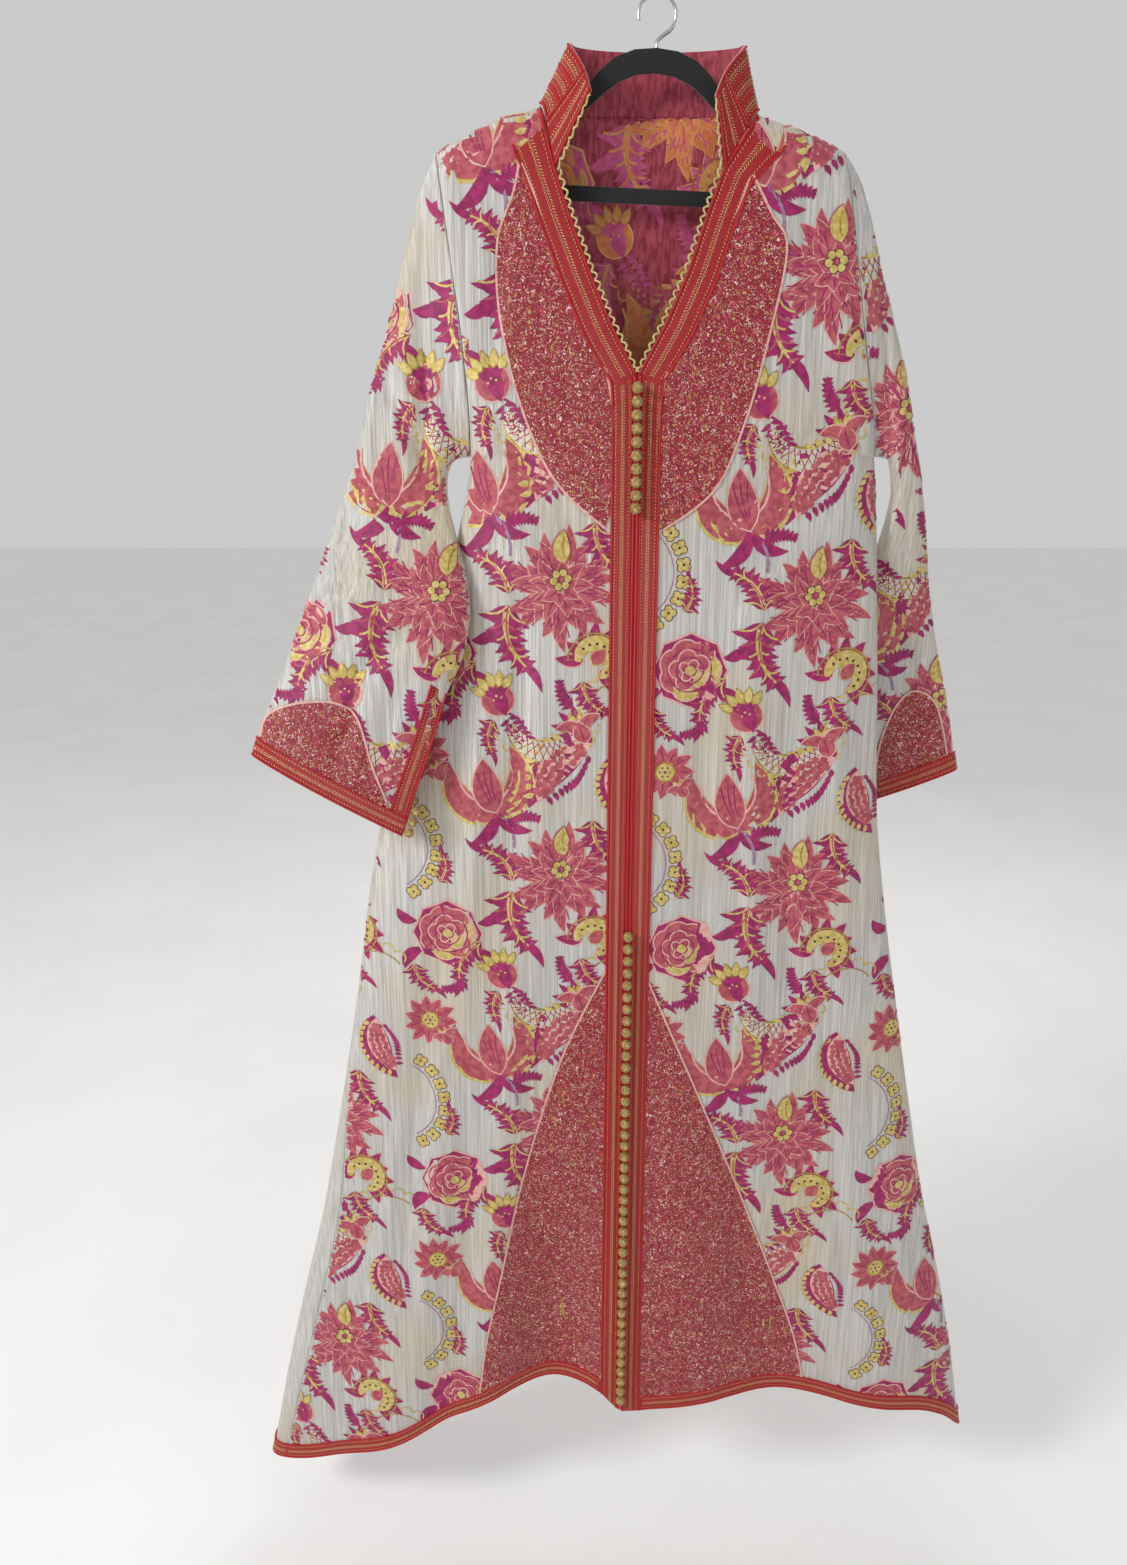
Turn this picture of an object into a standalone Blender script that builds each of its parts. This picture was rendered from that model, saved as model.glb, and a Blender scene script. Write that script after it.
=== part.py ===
"""A Moroccan kaftan that hangs on a slim hanger.

The garment is a hollow wall of cloth: two fronts and a back that meet at the side and shoulder
seams, two wide sleeves with a slit at the cuff, a stand collar, the braids sewn along its edges
and its rows of ball buttons. The wearer's right side is at -X and the front faces -Y. The origin
is the underside of the hook's top, where the hook rests on a rail. All sizes are in metres.
"""
import math

import bmesh
import bpy
from mathutils import Vector

# Cloth, seams and braid
WALL = 0.002
SEAM = 0.0003
ARMHOLE_SEAM = 0.0006
BRAID_THICK = 0.0018
BRAID_LIFT = 0.0003

# The body's main places
CENTRE_X = -0.014
ARMPIT_Z = -0.400
SHOULDER_ROUND = 0.030
SHOULDER_STEP = 0.008
ARMHOLE_DEPTH = 0.020
SECTION_POWER = 2.8
NECK_BACK_DEPTH = 0.030
NECK_BACK_Z = -0.093
HEM_BRAID = 0.020

# Rows from the hem braid to the armpit, and from the armpit to the shoulder
SKIRT_ROWS = 12
ARM_ROWS = 9

# Height, and the body's half width there; cloth has slipped to the wearer's left at the chest
SKIRT_HALF_WIDTH = (
    (-1.670, 0.456),
    (-1.540, 0.427),
    (-1.430, 0.399),
    (-1.300, 0.364),
    (-1.060, 0.316),
    (-0.820, 0.275),
)
BODY_HALF_WIDTH = {
    "right": SKIRT_HALF_WIDTH + (
        (-0.700, 0.238),
        (-0.620, 0.205),
        (-0.500, 0.182),
        (-0.400, 0.164),
        (-0.300, 0.168),
        (-0.200, 0.180),
        (-0.126, 0.190),
    ),
    "left": SKIRT_HALF_WIDTH + (
        (-0.620, 0.260),
        (-0.400, 0.240),
        (-0.300, 0.220),
        (-0.200, 0.203),
        (-0.126, 0.190),
    ),
}

# Height, and half of the depth from front to back
BODY_HALF_DEPTH = (
    (-1.670, 0.046),
    (-1.400, 0.042),
    (-1.000, 0.036),
    (-0.600, 0.031),
    (-0.300, 0.028),
    (-0.126, 0.020),
    (-0.040, 0.018),
)

# Place across the body, and the height of the front hem and of the back hem there
HEM_LINE = (
    (-0.470, -1.662, -1.662),
    (-0.400, -1.645, -1.640),
    (-0.298, -1.608, -1.604),
    (-0.194, -1.548, -1.580),
    (-0.143, -1.529, -1.572),
    (-0.066, -1.524, -1.576),
    (-0.035, -1.534, -1.584),
    (-0.014, -1.556, -1.588),
    (0.013, -1.556, -1.588),
    (0.088, -1.543, -1.574),
    (0.201, -1.540, -1.570),
    (0.316, -1.553, -1.578),
    (0.400, -1.583, -1.596),
    (0.442, -1.628, -1.628),
)

# Height, and how far the right side seam has rolled to the front, as a share of the half width
SEAM_ROLL = (
    (-1.670, 0.045),
    (-1.450, 0.062),
    (-1.280, 0.058),
    (-1.120, 0.014),
    (-1.000, 0.000),
    (-0.100, 0.000),
)

# Height of the row at the armhole, then height and the two places of the front edge there
NECK_ROWS = (
    (-0.400, -0.014, -0.014),
    (-0.375, -0.014, -0.014),
    (-0.350, -0.014, -0.014),
    (-0.324, -0.014, -0.014),
    (-0.276, -0.040, 0.012),
    (-0.228, -0.061, 0.033),
    (-0.182, -0.079, 0.048),
    (-0.144, -0.092, 0.062),
    (-0.103, -0.103, 0.089),
    (-0.095, -0.106, 0.094),
)
V_BOTTOM_ROW = 3
COLLAR_ROW = 7

# Panel, place across the hem, half width, depth towards the back, height where the fold starts
FOLDS = (
    ("front", -0.105, 0.085, 0.024, -1.150),
    ("front", -0.205, 0.050, -0.006, -0.800),
    ("front", -0.310, 0.080, -0.010, -1.000),
    ("front", 0.075, 0.060, -0.005, -0.900),
    ("front", 0.200, 0.105, 0.018, -1.100),
    ("front", 0.335, 0.080, -0.010, -0.950),
    ("back", -0.330, 0.080, -0.010, -1.050),
    ("back", -0.215, 0.095, 0.014, -1.000),
    ("back", -0.020, 0.120, -0.012, -0.950),
    ("back", 0.215, 0.105, 0.012, -1.050),
    ("back", 0.330, 0.070, -0.008, -1.100),
)
FOLD_GROWTH = 0.350

# Widths of the edge strip and of the braid beside it, below and above the foot of the V
STRIP_WIDTH = 0.004
BRAID_WIDTH = 0.020
NECK_STRIP_WIDTH = 0.007
NECK_BRAID_WIDTH = 0.021
FRONT_COLUMNS = 9

# The back's columns: from a side seam to the line below the neck point, and between those lines
BACK_SIDE_COLUMNS = 7
BACK_MIDDLE_COLUMNS = 10
NECK_LINE_SHARE = {"right": 0.484, "left": 0.568}

# Sleeve rings: outer fold x and z, then inner fold x and z, then half the depth
SLEEVE_RINGS = {
    "right": (
        (-0.220, -0.158, -0.193, -0.403, 0.0150),
        (-0.233, -0.200, -0.200, -0.413, 0.0145),
        (-0.246, -0.243, -0.202, -0.426, 0.0140),
        (-0.259, -0.286, -0.201, -0.442, 0.0140),
        (-0.273, -0.330, -0.197, -0.463, 0.0130),
        (-0.287, -0.374, -0.190, -0.488, 0.0130),
        (-0.301, -0.418, -0.183, -0.516, 0.0130),
        (-0.316, -0.462, -0.180, -0.556, 0.0130),
        (-0.328, -0.496, -0.188, -0.597, 0.0120),
        (-0.340, -0.530, -0.205, -0.634, 0.0120),
        (-0.364, -0.590, -0.222, -0.688, 0.0120),
        (-0.388, -0.645, -0.240, -0.738, 0.0120),
        (-0.402, -0.677, -0.2492, -0.765, 0.0120),
        (-0.409, -0.697, -0.256, -0.785, 0.0120),
    ),
    "left": (
        (0.195, -0.152, 0.241, -0.403, 0.0150),
        (0.212, -0.200, 0.245, -0.416, 0.0145),
        (0.232, -0.260, 0.247, -0.426, 0.0140),
        (0.252, -0.326, 0.249, -0.441, 0.0140),
        (0.267, -0.385, 0.247, -0.461, 0.0130),
        (0.279, -0.433, 0.242, -0.488, 0.0130),
        (0.290, -0.476, 0.235, -0.522, 0.0130),
        (0.299, -0.514, 0.226, -0.566, 0.0130),
        (0.307, -0.545, 0.214, -0.616, 0.0120),
        (0.315, -0.574, 0.203, -0.662, 0.0120),
        (0.330, -0.625, 0.195, -0.710, 0.0120),
        (0.346, -0.680, 0.190, -0.757, 0.0120),
        (0.354, -0.719, 0.1895, -0.781, 0.0120),
        (0.359, -0.740, 0.189, -0.801, 0.0120),
    ),
}

# Height, and how far the sleeves have swung there: the right to the front, the left to the back
SLEEVE_SWING = (
    (-0.800, 0.050),
    (-0.640, 0.043),
    (-0.555, 0.034),
    (-0.480, 0.015),
    (-0.440, 0.005),
    (-0.410, 0.000),
)
SLIT_RING = 10
SLIT_HALF_GAP = 0.0032
SLEEVE_POWER = 2.2
SLIT_POWER = 1.3
SLIT_BRAID_COLUMNS = 2

# Top edge of the collar at its front corner, halfway and above the shoulder seam: x, y, z
COLLAR_TOP = {
    "right": ((-0.060, -0.026, -0.082), (-0.067, -0.017, -0.060), (-0.079, 0.000, -0.038)),
    "left": ((0.052, -0.026, -0.086), (0.062, -0.017, -0.063), (0.080, 0.000, -0.040)),
}
COLLAR_BACK_TOP_Z = -0.036
COLLAR_BACK_TOP_DEPTH = 0.035
COLLAR_LEVELS = 3
COLLAR_BRAID_START = 0.003

# Ball buttons
BUTTON_RADIUS = 0.0060
BUTTON_SEAT = 0.0006
UPPER_BUTTONS = 10
UPPER_TOP_Z = -0.336
UPPER_PITCH = 0.0125
LOWER_BUTTONS = 44
LOWER_TOP_Z = -0.906
LOWER_PITCH = 0.0146
LOWER_NECK_RADIUS = 0.0020
LOWER_SIDES = 6
CUFF_BUTTONS = 3
CUFF_BUTTON_RADIUS = 0.0055
CUFF_BUTTON_PITCH = 0.0125

# Hanger: the top edge from the middle to a tip, and the inner edge from the middle to the bar
HANGER_THICK = 0.005
HANGER_TILT = math.radians(2.5)
HANGER_PEAK_Z = -0.042
HANGER_TO_CLOTH = 0.0060
HANGER_ARM_START = 0.090
HANGER_ARM_END = 0.148
SHOULDER_DROP = 0.45
HANGER_TOP = (
    (0.000, -0.042),
    (0.020, -0.044),
    (0.038, -0.051),
    (0.052, -0.063),
    (0.064, -0.078),
    (0.080, -0.092),
    (0.105, -0.100),
    (0.140, -0.109),
    (0.158, -0.119),
    (0.168, -0.132),
)
HANGER_FOOT = (
    (0.168, -0.150),
    (0.163, -0.162),
    (0.150, -0.171),
)
HANGER_INNER = (
    (0.000, -0.062),
    (0.018, -0.064),
    (0.034, -0.071),
    (0.047, -0.081),
    (0.058, -0.091),
    (0.076, -0.104),
    (0.103, -0.114),
    (0.135, -0.124),
    (0.149, -0.134),
    (0.152, -0.146),
    (0.146, -0.158),
)

# Hook
HOOK_WIRE = 0.00175
HOOK_RADIUS = 0.0170
HOOK_START = math.radians(-50)
HOOK_END = math.radians(195)
HOOK_STEPS = 28

# Colours and finish: red, green, blue, roughness, metallic
FINISHES = {
    "brocade": (0.72, 0.60, 0.55, 0.45, 0.0),
    "braid": (0.45, 0.02, 0.03, 0.70, 0.0),
    "strip": (0.55, 0.01, 0.02, 0.75, 0.0),
    "button": (0.48, 0.38, 0.20, 0.40, 0.6),
    "hanger": (0.015, 0.015, 0.017, 0.85, 0.0),
    "hook": (0.55, 0.55, 0.56, 0.25, 1.0),
}


def read_table(table, key, column=1):
    """Value of a column at a key, on a smooth curve through the table's rows."""
    rows = sorted(table)
    if key <= rows[0][0]:
        return rows[0][column]
    if key >= rows[-1][0]:
        return rows[-1][column]
    last = len(rows) - 1
    for i in range(last):
        if rows[i][0] <= key <= rows[i + 1][0]:
            break
    start, end = rows[i], rows[i + 1]
    before, after = rows[max(i - 1, 0)], rows[min(i + 2, last)]
    span = end[0] - start[0]
    slope_in = (end[column] - before[column]) / (end[0] - before[0])
    slope_out = (after[column] - start[column]) / (after[0] - start[0])
    t = (key - start[0]) / span
    blend = t * t * (3 - 2 * t)
    swing = t * (1 - t) * ((1 - t) * slope_in - t * slope_out) * span
    return start[column] * (1 - blend) + end[column] * blend + swing


def smooth_step(t):
    t = min(max(t, 0.0), 1.0)
    return t * t * (3 - 2 * t)


def tilt_about_peak(x, z):
    """A point of the hanger after its small tilt about the peak of its arch."""
    cosine, sine = math.cos(HANGER_TILT), math.sin(HANGER_TILT)
    drop = z - HANGER_PEAK_Z
    return x * cosine + drop * sine, HANGER_PEAK_Z - x * sine + drop * cosine


def shoulder_z(x):
    """Height of the shoulder seam, which rests on the hanger's arms."""
    reach = min(max(abs(x), HANGER_ARM_START), HANGER_ARM_END)
    side = 1 if x > 0 else -1
    top = tilt_about_peak(side * reach, read_table([(p[0], p[1]) for p in HANGER_TOP], reach))[1]
    past_arm = max(abs(x) - HANGER_ARM_END, 0.0)
    return top + HANGER_TO_CLOTH - past_arm * SHOULDER_DROP


SIDE_SIGN = {"right": -1, "left": 1}
NECK_COLUMN = {"right": 1, "left": 2}


def neck_point_x(side):
    return NECK_ROWS[-1][NECK_COLUMN[side]]


def armhole_angle(step):
    return math.pi * step / ARM_ROWS


def armhole_row(side, step):
    """Height of a row at the armhole and how far its edge stands off the middle plane."""
    tip_x = CENTRE_X + SIDE_SIGN[side] * BODY_HALF_WIDTH[side][-1][1]
    tip_z = shoulder_z(tip_x)
    share = (1 - math.cos(armhole_angle(step))) / 2
    height = ARMPIT_Z + (tip_z - ARMPIT_Z) * share
    return height, ARMHOLE_DEPTH * math.sin(armhole_angle(step))


def fold_depth(panel, x, z):
    """Depth of the large folds, which fan out towards the hem."""
    widths = BODY_HALF_WIDTH["right" if x < CENTRE_X else "left"]
    spread = read_table(widths, z) / widths[0][1]
    total = 0.0
    for owner, place, half, depth, top in FOLDS:
        if owner != panel:
            continue
        middle = CENTRE_X + (place - CENTRE_X) * spread
        reach = abs(x - middle) / (half * spread)
        if reach < 1:
            total += depth * math.cos(reach * math.pi / 2) ** 2 * smooth_step((top - z) / FOLD_GROWTH)
    return total


def body_y(panel, x, z, half_width, edge_depth):
    """Depth of the cloth's outer face at a place on the body."""
    share = max(1 - abs(x - CENTRE_X) / half_width, 0.0)
    profile = (1 - (1 - share) ** SECTION_POWER) ** (1 / SECTION_POWER)
    depth = edge_depth + (read_table(BODY_HALF_DEPTH, z) - edge_depth) * profile
    sign = -1 if panel == "front" else 1
    y = sign * depth + fold_depth(panel, x, z) * smooth_step(profile * 1.4)
    low, high = neck_point_x("right"), neck_point_x("left")
    top, top_y = shoulder_z(x), 0.0
    if low < x < high:
        across = (x - (low + high) / 2) / ((high - low) / 2)
        edge = shoulder_z(low) + (shoulder_z(high) - shoulder_z(low)) * (x - low) / (high - low)
        if panel == "back":
            top = edge + (NECK_BACK_Z - edge) * smooth_step((1 - abs(across)) * 3)
            top_y = NECK_BACK_DEPTH * math.sqrt(1 - across * across)
        else:
            top = edge
    rounding = min(max((top - z) / SHOULDER_ROUND, 0.0), 1.0)
    rounding = math.sqrt(1 - (1 - rounding) ** 2)
    return top_y + (y - top_y) * rounding


def edge_roll(side, z):
    """Square root of the share by which a side seam has rolled round to the front."""
    if side == "left":
        return 0.0
    return math.sqrt(max(read_table(SEAM_ROLL, z), 0.0))


def hem_z(panel, x):
    return read_table(HEM_LINE, x, 1 if panel == "front" else 2)


def skirt_height(hem, row):
    """Height of a row between the hem and the armpit; row 1 is the top of the hem braid."""
    if row == 0:
        return hem
    start = hem + HEM_BRAID
    return start + (ARMPIT_Z - start) * (row - 1) / SKIRT_ROWS


def front_columns(side, row):
    """The places and heights of one front's row, from the side seam to the front edge."""
    sign = SIDE_SIGN[side]
    arm_step = row - 1 - SKIRT_ROWS
    edge_depth = 0.0
    if arm_step <= 0:
        seam_x = CENTRE_X + sign * SKIRT_HALF_WIDTH[0][1]
        edge_z = skirt_height(hem_z("front", seam_x), row)
        inner_x = CENTRE_X
        strip, braid = STRIP_WIDTH, BRAID_WIDTH
    else:
        edge_z, edge_depth = armhole_row(side, arm_step)
        inner_z, inner_x = NECK_ROWS[arm_step][0], NECK_ROWS[arm_step][NECK_COLUMN[side]]
        if arm_step >= ARM_ROWS - 1:
            inner_z = shoulder_z(inner_x) - SHOULDER_STEP * (ARM_ROWS - arm_step)
        rise = smooth_step((arm_step - V_BOTTOM_ROW + 1) / 2)
        strip = STRIP_WIDTH + (NECK_STRIP_WIDTH - STRIP_WIDTH) * rise
        braid = BRAID_WIDTH + (NECK_BRAID_WIDTH - BRAID_WIDTH) * rise
    half_width = read_table(BODY_HALF_WIDTH[side], edge_z)
    roll = edge_roll(side, edge_z)
    braid_x = inner_x + sign * (strip + braid)
    braid_g = math.sqrt(max(1 - abs(braid_x - CENTRE_X) / half_width, 0.0))
    places = []
    for k in range(FRONT_COLUMNS + 1):
        g = roll + (braid_g - roll) * k / FRONT_COLUMNS
        places.append(CENTRE_X + sign * half_width * (1 - g * g))
    places.append(inner_x + sign * strip)
    places.append(inner_x + sign * SEAM / 2)
    heights = []
    for x in places:
        if arm_step <= 0:
            heights.append(skirt_height(hem_z("front", x), row))
            continue
        share = (x - places[0]) / (places[-1] - places[0])
        straight = edge_z + (inner_z - edge_z) * share
        tip_line = shoulder_z(places[0]) + (shoulder_z(places[-1]) - shoulder_z(places[0])) * share
        weight = smooth_step((arm_step - 4) / 4.5)
        heights.append(straight + (shoulder_z(x) - tip_line) * weight)
    return places, heights, half_width, edge_depth


def front_grid(side):
    """Outer points of one front, by rows from the hem to the shoulder."""
    rows = []
    for row in range(2 + SKIRT_ROWS + ARM_ROWS):
        places, heights, half_width, edge_depth = front_columns(side, row)
        line = []
        for x, z in zip(places, heights):
            y = body_y("front", x, z, half_width, edge_depth)
            line.append(Vector((x, y, z)))
        if row <= 1 + SKIRT_ROWS:
            line[0].y = min(line[0].y, 0.0) - SEAM / 2
        if row == 1 + SKIRT_ROWS + ARM_ROWS:
            for point in line:
                point.y = -SEAM / 2
        rows.append(line)
    return rows


def back_columns(side, row):
    """Signed steps round one half of the back's row, from the side seam to the neck's line."""
    sign = SIDE_SIGN[side]
    arm_step = row - 1 - SKIRT_ROWS
    edge_depth = 0.0
    if arm_step <= 0:
        seam_x = CENTRE_X + sign * SKIRT_HALF_WIDTH[0][1]
        edge_z = skirt_height(hem_z("front", seam_x), row)
    else:
        edge_z, edge_depth = armhole_row(side, arm_step)
    half_width = read_table(BODY_HALF_WIDTH[side], edge_z)
    roll = edge_roll(side, edge_z)
    neck_g = -math.sqrt(1 - NECK_LINE_SHARE[side])
    steps = []
    for k in range(BACK_SIDE_COLUMNS + 1):
        g = roll + (neck_g - roll) * k / BACK_SIDE_COLUMNS
        steps.append((CENTRE_X + sign * half_width * (1 - g * g), g > 0))
    return steps, edge_z, half_width, edge_depth, arm_step


def back_height(x, ahead, row, edge_z, edge_x, arm_step):
    if arm_step <= 0:
        return skirt_height(hem_z("front" if ahead else "back", x), row)
    low, high = neck_point_x("right"), neck_point_x("left")
    top = shoulder_z(x)
    if low < x < high:
        across = (x - (low + high) / 2) / ((high - low) / 2)
        edge = shoulder_z(low) + (shoulder_z(high) - shoulder_z(low)) * (x - low) / (high - low)
        top = edge + (NECK_BACK_Z - edge) * smooth_step((1 - abs(across)) * 3)
    share = (edge_z - ARMPIT_Z) / (shoulder_z(edge_x) - ARMPIT_Z)
    return ARMPIT_Z + (top - ARMPIT_Z) * share


def back_grid():
    """Outer points of the back, by rows from the hem to the shoulder, right seam to left seam."""
    rows = []
    for row in range(2 + SKIRT_ROWS + ARM_ROWS):
        halves, widths = {}, {}
        for side in ("right", "left"):
            steps, edge_z, half_width, edge_depth, arm_step = back_columns(side, row)
            widths[side] = half_width
            line = []
            for x, ahead in steps:
                z = back_height(x, ahead, row, edge_z, steps[0][0], arm_step)
                panel = "front" if ahead else "back"
                line.append(Vector((x, body_y(panel, x, z, half_width, edge_depth), z)))
            if row <= 1 + SKIRT_ROWS:
                line[0].y = min(line[0].y, 0.0) + SEAM / 2
            halves[side] = line
        first, last = halves["right"][-1], halves["left"][-1]
        middle = []
        for k in range(1, BACK_MIDDLE_COLUMNS):
            x = first.x + (last.x - first.x) * k / BACK_MIDDLE_COLUMNS
            z = back_height(x, False, row, edge_z, steps[0][0], arm_step)
            half_width = widths["right" if x < CENTRE_X else "left"]
            middle.append(Vector((x, body_y("back", x, z, half_width, edge_depth), z)))
        line = halves["right"] + middle + halves["left"][::-1]
        if row == 1 + SKIRT_ROWS + ARM_ROWS:
            for point in halves["right"] + halves["left"]:
                point.y = SEAM / 2
        rows.append(line)
    return rows


def grid_normals(points, outward, closed_rows=0):
    """Normals of a grid of points, turned to the side that outward gives for a point."""
    normals = []
    last_row, last_col = len(points) - 1, len(points[0]) - 1
    for r, line in enumerate(points):
        row = []
        for c in range(last_col + 1):
            up, down = points[min(r + 1, last_row)][c], points[max(r - 1, 0)][c]
            if r < closed_rows and c in (0, last_col):
                right, left = line[1], line[last_col - 1]
            else:
                right, left = line[min(c + 1, last_col)], line[max(c - 1, 0)]
            normal = (right - left).cross(up - down).normalized()
            if normal.dot(outward(line[c])) < 0:
                normal.negate()
            row.append(normal)
        normals.append(row)
    return normals


def seam_normals(points, normals, column, side, rows):
    """Give a seam the normal that lies in the middle plane, so that both panels share it."""
    for r in range(rows):
        along = points[min(r + 1, rows - 1)][column] - points[max(r - 1, 0)][column]
        along.y = 0
        normal = Vector((-along.z, 0, along.x)).normalized()
        if normal.x * SIDE_SIGN[side] < 0:
            normal.negate()
        normals[r][column] = normal


def rolled_normals(points, normals, column, rows, ring_normal):
    """Give a seam that has rolled to the front the normal of the ring that it lies on."""
    for r in range(rows):
        if abs(points[r][column].y) > 2 * SEAM:
            normals[r][column] = ring_normal(points[r][column]).normalized()


def section_normal(point):
    """Normal of the body's section near a side fold, worked out from its formula."""
    side = "right" if point.x < CENTRE_X else "left"
    half_width = read_table(BODY_HALF_WIDTH[side], point.z)
    depth = read_table(BODY_HALF_DEPTH, point.z)
    across = (point.x - CENTRE_X) / half_width
    deep = point.y / depth
    power = SECTION_POWER - 1
    x = math.copysign(abs(across) ** power, across) / half_width
    y = math.copysign(abs(deep) ** power, deep) / depth
    return Vector((x, y, 0))


def shoulder_normals(points, normals, columns):
    """Give the shoulder seam the normal that lies in the middle plane."""
    line = points[-1]
    for c in columns:
        left, right = line[max(c - 1, 0)], line[min(c + 1, len(line) - 1)]
        along = right - left
        normal = Vector((-along.z, 0, along.x)).normalized()
        if normal.z < 0:
            normal.negate()
        normals[-1][c] = normal


def finish_material(name):
    material = bpy.data.materials.new(name)
    material.use_nodes = True
    shader = material.node_tree.nodes["Principled BSDF"]
    red, green, blue, roughness, metallic = FINISHES[name]
    shader.inputs["Base Color"].default_value = (red, green, blue, 1)
    shader.inputs["Roughness"].default_value = roughness
    shader.inputs["Metallic"].default_value = metallic
    return material


def new_mesh_object(name, mesh, material):
    item = bpy.data.objects.new(name, mesh)
    mesh.materials.append(material)
    COLLECTION.objects.link(item)
    item.parent = HOLDER
    return item


def cloth_wall(name, points, normals, low, high, finish, closed_rows=0):
    """Closed wall between a grid of points moved out by low and by high."""
    rows, cols = len(points), len(points[0])
    mesh = bmesh.new()
    layers = []
    for lift in (high, low):
        layer = []
        for r in range(rows):
            line = [mesh.verts.new(points[r][c] + normals[r][c] * lift) for c in range(cols - 1)]
            if r < closed_rows:
                line.append(line[0])
            else:
                line.append(mesh.verts.new(points[r][-1] + normals[r][-1] * lift))
            layer.append(line)
        layers.append(layer)
    outer, inner = layers
    for r in range(rows - 1):
        for c in range(cols - 1):
            mesh.faces.new((outer[r][c], outer[r][c + 1], outer[r + 1][c + 1], outer[r + 1][c]))
            mesh.faces.new((inner[r][c], inner[r + 1][c], inner[r + 1][c + 1], inner[r][c + 1]))
    for c in range(cols - 1):
        mesh.faces.new((outer[0][c], inner[0][c], inner[0][c + 1], outer[0][c + 1]))
        mesh.faces.new((outer[-1][c], outer[-1][c + 1], inner[-1][c + 1], inner[-1][c]))
    for r in range(max(closed_rows - 1, 0), rows - 1):
        mesh.faces.new((outer[r][0], outer[r + 1][0], inner[r + 1][0], inner[r][0]))
        mesh.faces.new((outer[r][-1], inner[r][-1], inner[r + 1][-1], outer[r + 1][-1]))
    bmesh.ops.recalc_face_normals(mesh, faces=mesh.faces)
    data = bpy.data.meshes.new(name)
    mesh.to_mesh(data)
    mesh.free()
    data.shade_smooth()
    data.set_sharp_from_angle(angle=math.radians(50))
    return new_mesh_object(name, data, MATERIALS[finish])


def pick(points, normals, rows, columns, gaps=(0, 0, 0, 0)):
    """A block of a panel's grid, with its first and last rows and columns drawn in by a gap."""
    block = [[points[r][c].copy() for c in columns] for r in rows]
    block_normals = [[normals[r][c].copy() for c in columns] for r in rows]
    first_row, last_row, first_col, last_col = gaps

    def draw_in(line, beyond, gap):
        return [a + (b - a).normalized() * gap for a, b in zip(line, beyond)]

    block[0] = draw_in(block[0], block[1], first_row)
    block[-1] = draw_in(block[-1], block[-2], last_row)
    for line in block:
        line[0] = line[0] + (line[1] - line[0]).normalized() * first_col
        line[-1] = line[-1] + (line[-2] - line[-1]).normalized() * last_col
    return block, block_normals


def braid_wall(name, points, normals, rows, columns, finish="braid", gaps=(0, 0, 0, 0)):
    block, block_normals = pick(points, normals, rows, columns, gaps)
    return cloth_wall(name, block, block_normals, BRAID_LIFT, BRAID_LIFT + BRAID_THICK, finish)


def armpit_normal(side):
    return Vector((SIDE_SIGN[side] * 0.35, 0, -0.94)).normalized()


def tip_normal(side):
    return Vector((SIDE_SIGN[side] * 0.50, 0, 0.87)).normalized()


def make_body():
    """The two fronts and the back, with the grids that the trims are made from."""
    grids = {}
    seam_rows = 2 + SKIRT_ROWS
    for side in ("right", "left"):
        points = front_grid(side)
        normals = grid_normals(points, lambda p: Vector((0, -1, 0.2)))
        seam_normals(points, normals, 0, side, seam_rows)
        rolled_normals(points, normals, 0, seam_rows, section_normal)
        shoulder_normals(points, normals, range(len(points[0])))
        normals[seam_rows - 1][0] = armpit_normal(side)
        normals[-1][0] = tip_normal(side)
        cloth_wall("front_" + side, points, normals, -WALL, 0, "brocade")
        grids[side] = (points, normals)
    points = back_grid()
    normals = grid_normals(points, lambda p: Vector((0, 1, 0.2)))
    for side, column in (("right", 0), ("left", -1)):
        seam_normals(points, normals, column, side, seam_rows)
        rolled_normals(points, normals, column, seam_rows, section_normal)
        normals[seam_rows - 1][column] = armpit_normal(side)
    turn_round_the_fold(points, normals)
    cols = len(points[0])
    shoulder = list(range(BACK_SIDE_COLUMNS + 1)) + list(range(cols - BACK_SIDE_COLUMNS - 1, cols))
    shoulder_normals(points, normals, shoulder)
    normals[-1][0] = tip_normal("right")
    normals[-1][-1] = tip_normal("left")
    cloth_wall("back", points, normals, -WALL, 0, "brocade")
    grids["back"] = (points, normals)
    return grids


def turn_round_the_fold(points, normals):
    """Where the back passes round a side fold, its normals point away from the body's middle."""
    for line, row in zip(points, normals):
        for c, point in enumerate(line):
            if point.y < 0 and row[c].dot(Vector((point.x - CENTRE_X, point.y, 0))) < 0:
                row[c].negate()


def sleeve_ring(side, ring_number):
    """Points round one ring, from the inner fold along the front, over the outer fold and back."""
    outer_x, outer_z, inner_x, inner_z, half_depth = SLEEVE_RINGS[side][ring_number - 1]
    middle = Vector(((outer_x + inner_x) / 2, 0, (outer_z + inner_z) / 2))
    half_axis = Vector(((outer_x - inner_x) / 2, 0, (outer_z - inner_z) / 2))
    in_slit = ring_number > SLIT_RING
    line = []
    for step in range(2 * ARM_ROWS + 1):
        turn = math.pi * step / ARM_ROWS
        along = -math.cos(turn)
        open_half = SLIT_HALF_GAP if in_slit and along < 0 else 0.0
        power = SLIT_POWER if open_half else SLEEVE_POWER
        swell = (1 - min(abs(along), 1.0) ** power) ** (1 / power)
        depth = open_half + (half_depth - open_half) * swell
        sign = -1 if step < ARM_ROWS else 1
        point = middle + half_axis * along
        point.y = SIDE_SIGN[side] * read_table(SLEEVE_SWING, point.z) + sign * depth
        line.append(point)
    return line


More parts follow.
